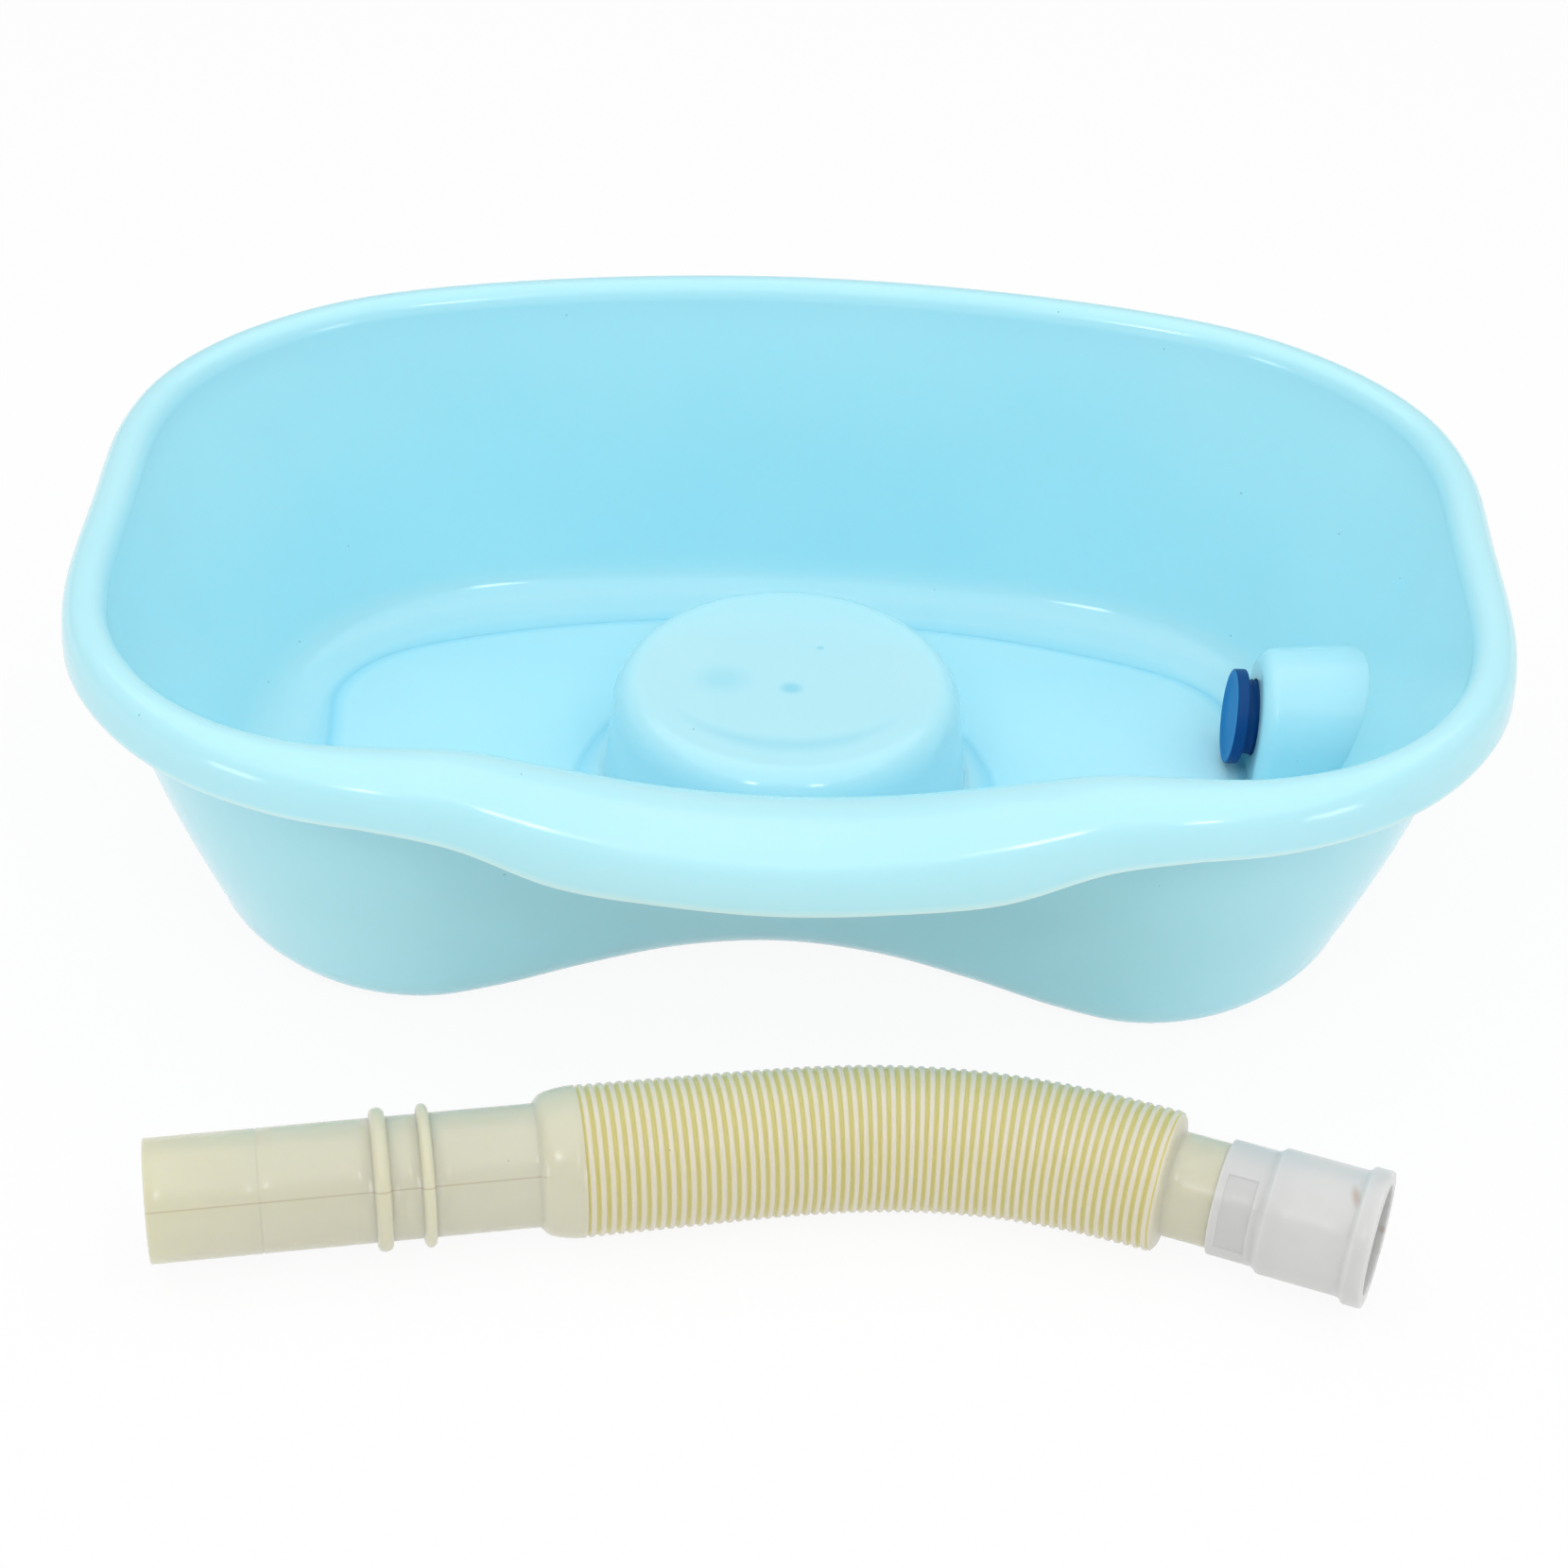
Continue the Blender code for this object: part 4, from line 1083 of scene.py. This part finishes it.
def plastic(name, light, deep, roughness, grain_scale=900.0, grain_depth=0.00002, tone_scale=9.0):
    """Principled plastic whose colour and roughness wander a little, with a fine mould grain."""
    material = bpy.data.materials.new(name)
    material.use_nodes = True
    nodes = material.node_tree.nodes
    links = material.node_tree.links
    shader = nodes["Principled BSDF"]
    tone = nodes.new("ShaderNodeGroup")
    tone.node_tree = tone_group
    tone.inputs["Scale"].default_value = tone_scale
    body = mix_colours(nodes, links, tone.outputs["Tone"], light, deep)
    links.new(body, shader.inputs["Base Color"])
    rough = spread(nodes, links, tone.outputs["Tone"], 0.0, 1.0, roughness - 0.03, roughness + 0.03)
    links.new(rough, shader.inputs["Roughness"])
    grain = nodes.new("ShaderNodeGroup")
    grain.node_tree = grain_group
    grain.inputs["Scale"].default_value = grain_scale
    bump = nodes.new("ShaderNodeBump")
    bump.inputs["Distance"].default_value = grain_depth
    bump.inputs["Strength"].default_value = 1.0
    links.new(grain.outputs["Height"], bump.inputs["Height"])
    links.new(bump.outputs["Normal"], shader.inputs["Normal"])
    return material


def attribute_share(nodes, links, name, low, high):
    """How far a value that is stored with the points has come from low to high."""
    stored = nodes.new("ShaderNodeAttribute")
    stored.attribute_name = name
    return spread(nodes, links, stored.outputs["Fac"], low, high)


def spot_mask(nodes, centre, size, softness):
    spot = nodes.new("ShaderNodeGroup")
    spot.node_tree = spot_group
    spot.inputs["Centre"].default_value = centre
    spot.inputs["Size"].default_value = size
    spot.inputs["Softness"].default_value = softness
    return spot.outputs["Mask"]


def tint(material, mask, other_colour, strength=1.0):
    """Blends another colour over the base colour of a material where the mask is bright."""
    nodes, links = material.node_tree.nodes, material.node_tree.links
    base_colour = nodes["Principled BSDF"].inputs["Base Color"]
    present = base_colour.links[0].from_socket
    factor = maths(nodes, links, "MULTIPLY", mask, strength)
    links.new(mix_colours(nodes, links, factor, present, other_colour), base_colour)


def add_specks(material, speck_colour, scale=120.0, size=0.05):
    specks = material.node_tree.nodes.new("ShaderNodeGroup")
    specks.node_tree = speck_group
    specks.inputs["Scale"].default_value = scale
    specks.inputs["Size"].default_value = size
    tint(material, specks.outputs["Mask"], speck_colour, 0.55)


def let_light_in(material, weight, radius):
    """Part of the light goes into the plastic and comes out again up to some millimetres away."""
    shader = material.node_tree.nodes["Principled BSDF"]
    shader.inputs["Subsurface Weight"].default_value = weight
    shader.inputs["Subsurface Radius"].default_value = radius
    shader.inputs["Subsurface Scale"].default_value = LIGHT_REACH


def dress(piece, material):
    piece.data.materials.clear()
    piece.data.materials.append(material)


# %% [markdown]
# ## Finishes
#
# The basin is glossy aqua polypropylene that lets a little light through, with painted shade along the fine
# steps of its floor and a painted highlight along the edge of its lip. The plug is saturated blue rubber,
# and its face is painted a lighter blue than its rim for the light that falls on it. The hose is cream
# polyethylene, painted more yellow down in its grooves for the light that passes through the plastic twice
# there, and with the fine line where the two halves of the mould met. The sleeve is milky white, with a
# brownish scuff on its collar and a small mark near its end. The headrest has a darker dot where the plastic
# entered the mould, a faint round stain, and a crescent of painted shade for a shallow sink.

# %% Finishes
HEADREST_MARKS = (  # centre, size, softness, strength
    ((0.0013, 0.0039), (0.0060, 0.0052), 0.8, 0.75),
    ((-0.0240, 0.0080), (0.0150, 0.0120), 0.9, 0.35),
    ((0.0117, 0.0306), (0.0020, 0.0018), 0.6, 0.60))
# Sizes of a crescent of painted shade on the headrest, for a shallow sink.
SINK_SHADE_RADIUS = 0.0495
SINK_SHADE_COVER_RADIUS = 0.0640
SINK_SHADE_COVER_SHIFT = 0.022
SEAM_CORE = 0.0010
SEAM_EDGE = 0.0030
SLEEVE_MARKS = (
    ((0.1820, -0.2512, 0.0447), (0.0022, 0.0060, 0.0040), 0.95, 0.55),
    ((0.1962, -0.2350, 0.0153), (0.0018, 0.0018, 0.0018), 0.7, 0.40))

aqua = plastic("aqua_plastic", colour(190, 240, 254), colour(185, 238, 253), 0.14,
               grain_depth=0.000004)
let_light_in(aqua, 0.5, (0.7, 1.0, 1.0))
nodes, links = aqua.node_tree.nodes, aqua.node_tree.links
deeper_aqua = colour(138, 216, 240)
# Painted shade along the fine steps of the floor, for the shade in the crease of each step.
tint(aqua, attribute_share(nodes, links, "step", 0.0, 1.0), deeper_aqua, 0.6)
for centre, size, softness, strength in HEADREST_MARKS:
    mask = spot_mask(nodes, (*centre, HEADREST_HEIGHT), (*size, HEADREST_EDGE_HEIGHT), softness)
    tint(aqua, mask, deeper_aqua, strength)
# Painted shade: a crescent on the top of the headrest, inside one circle and outside another, stands in for
# the shading of a shallow sink that is not modelled.
sink_shade_disc = spot_mask(nodes, (0.0, HEADREST_Y, HEADREST_HEIGHT), (SINK_SHADE_RADIUS,) * 3, 0.16)
sink_shade_cover = spot_mask(nodes, (0.0, HEADREST_Y + SINK_SHADE_COVER_SHIFT, HEADREST_HEIGHT),
                       (SINK_SHADE_COVER_RADIUS,) * 3, 0.10)
outside_sink_shade_cover = spread(nodes, links, sink_shade_cover, 0.0, 1.0, 1.0, 0.0)
tint(aqua, maths(nodes, links, "MULTIPLY", sink_shade_disc, outside_sink_shade_cover), deeper_aqua, 0.40)
# Painted highlight: the bevelled edge of the lip is painted paler, for the light that its rounded edge
# catches.
tint(aqua, attribute_share(nodes, links, "lip", 0.0, 1.0), colour(214, 248, 253), 0.9)
add_specks(aqua, colour(96, 170, 188))
dress(basin, aqua)

rubber = plastic("blue_rubber", colour(8, 74, 134), colour(6, 68, 126), 0.45)
nodes, links = rubber.node_tree.nodes, rubber.node_tree.links
nodes["Principled BSDF"].inputs["Specular IOR Level"].default_value = 0.15
# Painted light: faces that look along -X, the face of the plug, are painted a lighter blue than the rim, for
# the light that falls on them.
place = nodes.new("ShaderNodeTexCoord")
painted_light_normal = nodes.new("ShaderNodeSeparateXYZ")
links.new(place.outputs["Normal"], painted_light_normal.inputs["Vector"])
tint(rubber, spread(nodes, links, painted_light_normal.outputs["X"], -0.75, -0.97), colour(6, 124, 188), 1.0)
dress(plug, rubber)

cream = plastic("cream_plastic", colour(215, 213, 191), colour(210, 207, 183), 0.24)
let_light_in(cream, 0.8, (1.0, 0.95, 0.6))
nodes, links = cream.node_tree.nodes, cream.node_tree.links
tint(cream, attribute_share(nodes, links, "groove", RIDGE_MARK * 0.2, RIDGE_MARK), colour(219, 212, 196))
tint(cream, attribute_share(nodes, links, "groove", RIDGE_MARK + 0.10, RIDGE_MARK + 0.60),
     colour(216, 208, 136))
along_hose = nodes.new("ShaderNodeUVMap")
along_hose.uv_map = "along_hose"
around = nodes.new("ShaderNodeSeparateXYZ")
links.new(along_hose.outputs["UV"], around.inputs["Vector"])
on_cuff = spread(nodes, links, around.outputs["Y"], CUFF_LENGTH, CUFF_LENGTH + 0.004, 1.0, 0.0)
for seam_place in PARTING_LINES:
    from_seam = maths(nodes, links, "SUBTRACT", around.outputs["X"], seam_place)
    apart = maths(nodes, links, "ABSOLUTE", from_seam)
    seam = spread(nodes, links, apart, SEAM_CORE, SEAM_EDGE, 1.0, 0.0)
    tint(cream, maths(nodes, links, "MULTIPLY", seam, on_cuff), colour(184, 168, 142), 0.5)
add_specks(cream, colour(150, 140, 100), 160.0)
dress(hose, cream)

milky = plastic("milky_plastic", colour(216, 216, 214), colour(211, 211, 210), 0.28)
let_light_in(milky, 0.8, (1.0, 1.0, 1.0))
for centre, size, softness, strength in SLEEVE_MARKS:
    mask = spot_mask(milky.node_tree.nodes, centre, size, softness)
    tint(milky, mask, colour(176, 150, 132), strength)
add_specks(milky, colour(140, 135, 130), 160.0)
dress(adapter, milky)
print("Materials:", ", ".join(material.name for material in (aqua, rubber, cream, milky)))

# %% [markdown]
# ## Floor and light
#
# The photograph is a product picture on pure white. A large pale floor carries the object and keeps a faint
# shadow. For rays that come from the camera, and for mirror and transmitted rays, part of its colour is
# plain white light of strength one, so the ground reads as white without more light on the basin.
#
# The light comes mostly from above, from a very large soft lamp over the whole scene, and the pale floor
# sends much of it back up under the flange. A weaker lamp in front opens the shade of the inside. Two pairs
# of small lamps, left and right, put the short bright lines on the flange and the soft spots on the corners
# of the bowl.

# %% Floor and light
FLOOR_DROP = 0.0003
FLOOR_SIZE = 12.0
FLOOR_PAPER = (0.92, 0.92, 0.92, 1.0)
FLOOR_WHITENING = 0.92
WORLD_LIGHT = 0.5
WORLD_SEEN = 1.0
LAMP_AIM = (0.0, 0.0, 0.05)

leave_nothing_selected()
bpy.ops.mesh.primitive_plane_add(size=FLOOR_SIZE, location=(0.0, 0.0, -FLOOR_DROP))
floor = bpy.context.object
floor.name = floor.data.name = "studio_floor"
paper = bpy.data.materials.new("white_floor")
paper.use_nodes = True
nodes, links = paper.node_tree.nodes, paper.node_tree.links
shader = nodes["Principled BSDF"]
shader.inputs["Base Color"].default_value = FLOOR_PAPER
shader.inputs["Roughness"].default_value = 0.9
rays = nodes.new("ShaderNodeLightPath")
seen = maths(nodes, links, "MAXIMUM", rays.outputs["Is Camera Ray"], rays.outputs["Is Glossy Ray"])
seen_through = maths(nodes, links, "MAXIMUM", seen, rays.outputs["Is Transmission Ray"])
glow = nodes.new("ShaderNodeEmission")
blend = nodes.new("ShaderNodeMixShader")
links.new(maths(nodes, links, "MULTIPLY", seen_through, FLOOR_WHITENING), blend.inputs["Fac"])
links.new(shader.outputs["BSDF"], blend.inputs[1])
links.new(glow.outputs["Emission"], blend.inputs[2])
links.new(blend.outputs["Shader"], nodes["Material Output"].inputs["Surface"])
dress(floor, paper)

world = bpy.data.worlds.new("white_studio")
bpy.context.scene.world = world
world.use_nodes = True
nodes, links = world.node_tree.nodes, world.node_tree.links
sky = nodes["Background"]
rays = nodes.new("ShaderNodeLightPath")
level = nodes.new("ShaderNodeMapRange")
level.inputs["To Min"].default_value = WORLD_LIGHT
level.inputs["To Max"].default_value = WORLD_SEEN
links.new(rays.outputs["Is Camera Ray"], level.inputs["Value"])
links.new(level.outputs["Result"], sky.inputs["Strength"])
sky.inputs["Color"].default_value = (1.0, 1.0, 1.0, 1.0)


def softbox(name, place, aim, width, height, power):
    """Area light at a place, turned to face the point that it is aimed at."""
    leave_nothing_selected()
    turn = (Vector(aim) - Vector(place)).to_track_quat("-Z", "Y").to_euler()
    bpy.ops.object.light_add(type="AREA", location=place, rotation=turn)
    light = bpy.context.object
    light.name = name
    light.data.shape = "RECTANGLE"
    light.data.size = width
    light.data.size_y = height
    light.data.energy = power


softbox("top_softbox", (0.0, 0.0, 1.35), LAMP_AIM, 2.6, 2.2, 15.0)
softbox("front_softbox", (0.0, -1.10, 1.35), LAMP_AIM, 1.4, 0.6, 1.0)
for side, name in ((-1.0, "left"), (1.0, "right")):
    softbox(name + "_softbox", (side * 0.52, -1.20, 1.20), LAMP_AIM, 0.18, 0.18, 1.6)
    softbox(name + "_low_softbox", (side * 1.15, -0.95, 0.25), (0.0, -0.05, 0.06), 0.30, 0.30, 1.4)
bpy.context.scene.view_settings.view_transform = "Standard"
print("Floor, world and six softboxes")

# %% [markdown]
# ## Riding on the frame
#
# Each visible piece stands for one CAD node and moves with its body, and the CAD node's own mesh is hidden.

for piece, node, body, slot_name in ((basin, "basin_shell", "basin", "basin"),
                                     (plug, "drain_plug", "plug", "plug"),
                                     (hose, "drain_hose", "hose", "hose"),
                                     (adapter, "hose_adapter", "adapter", "adapter")):
    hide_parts(node)
    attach(piece, body)
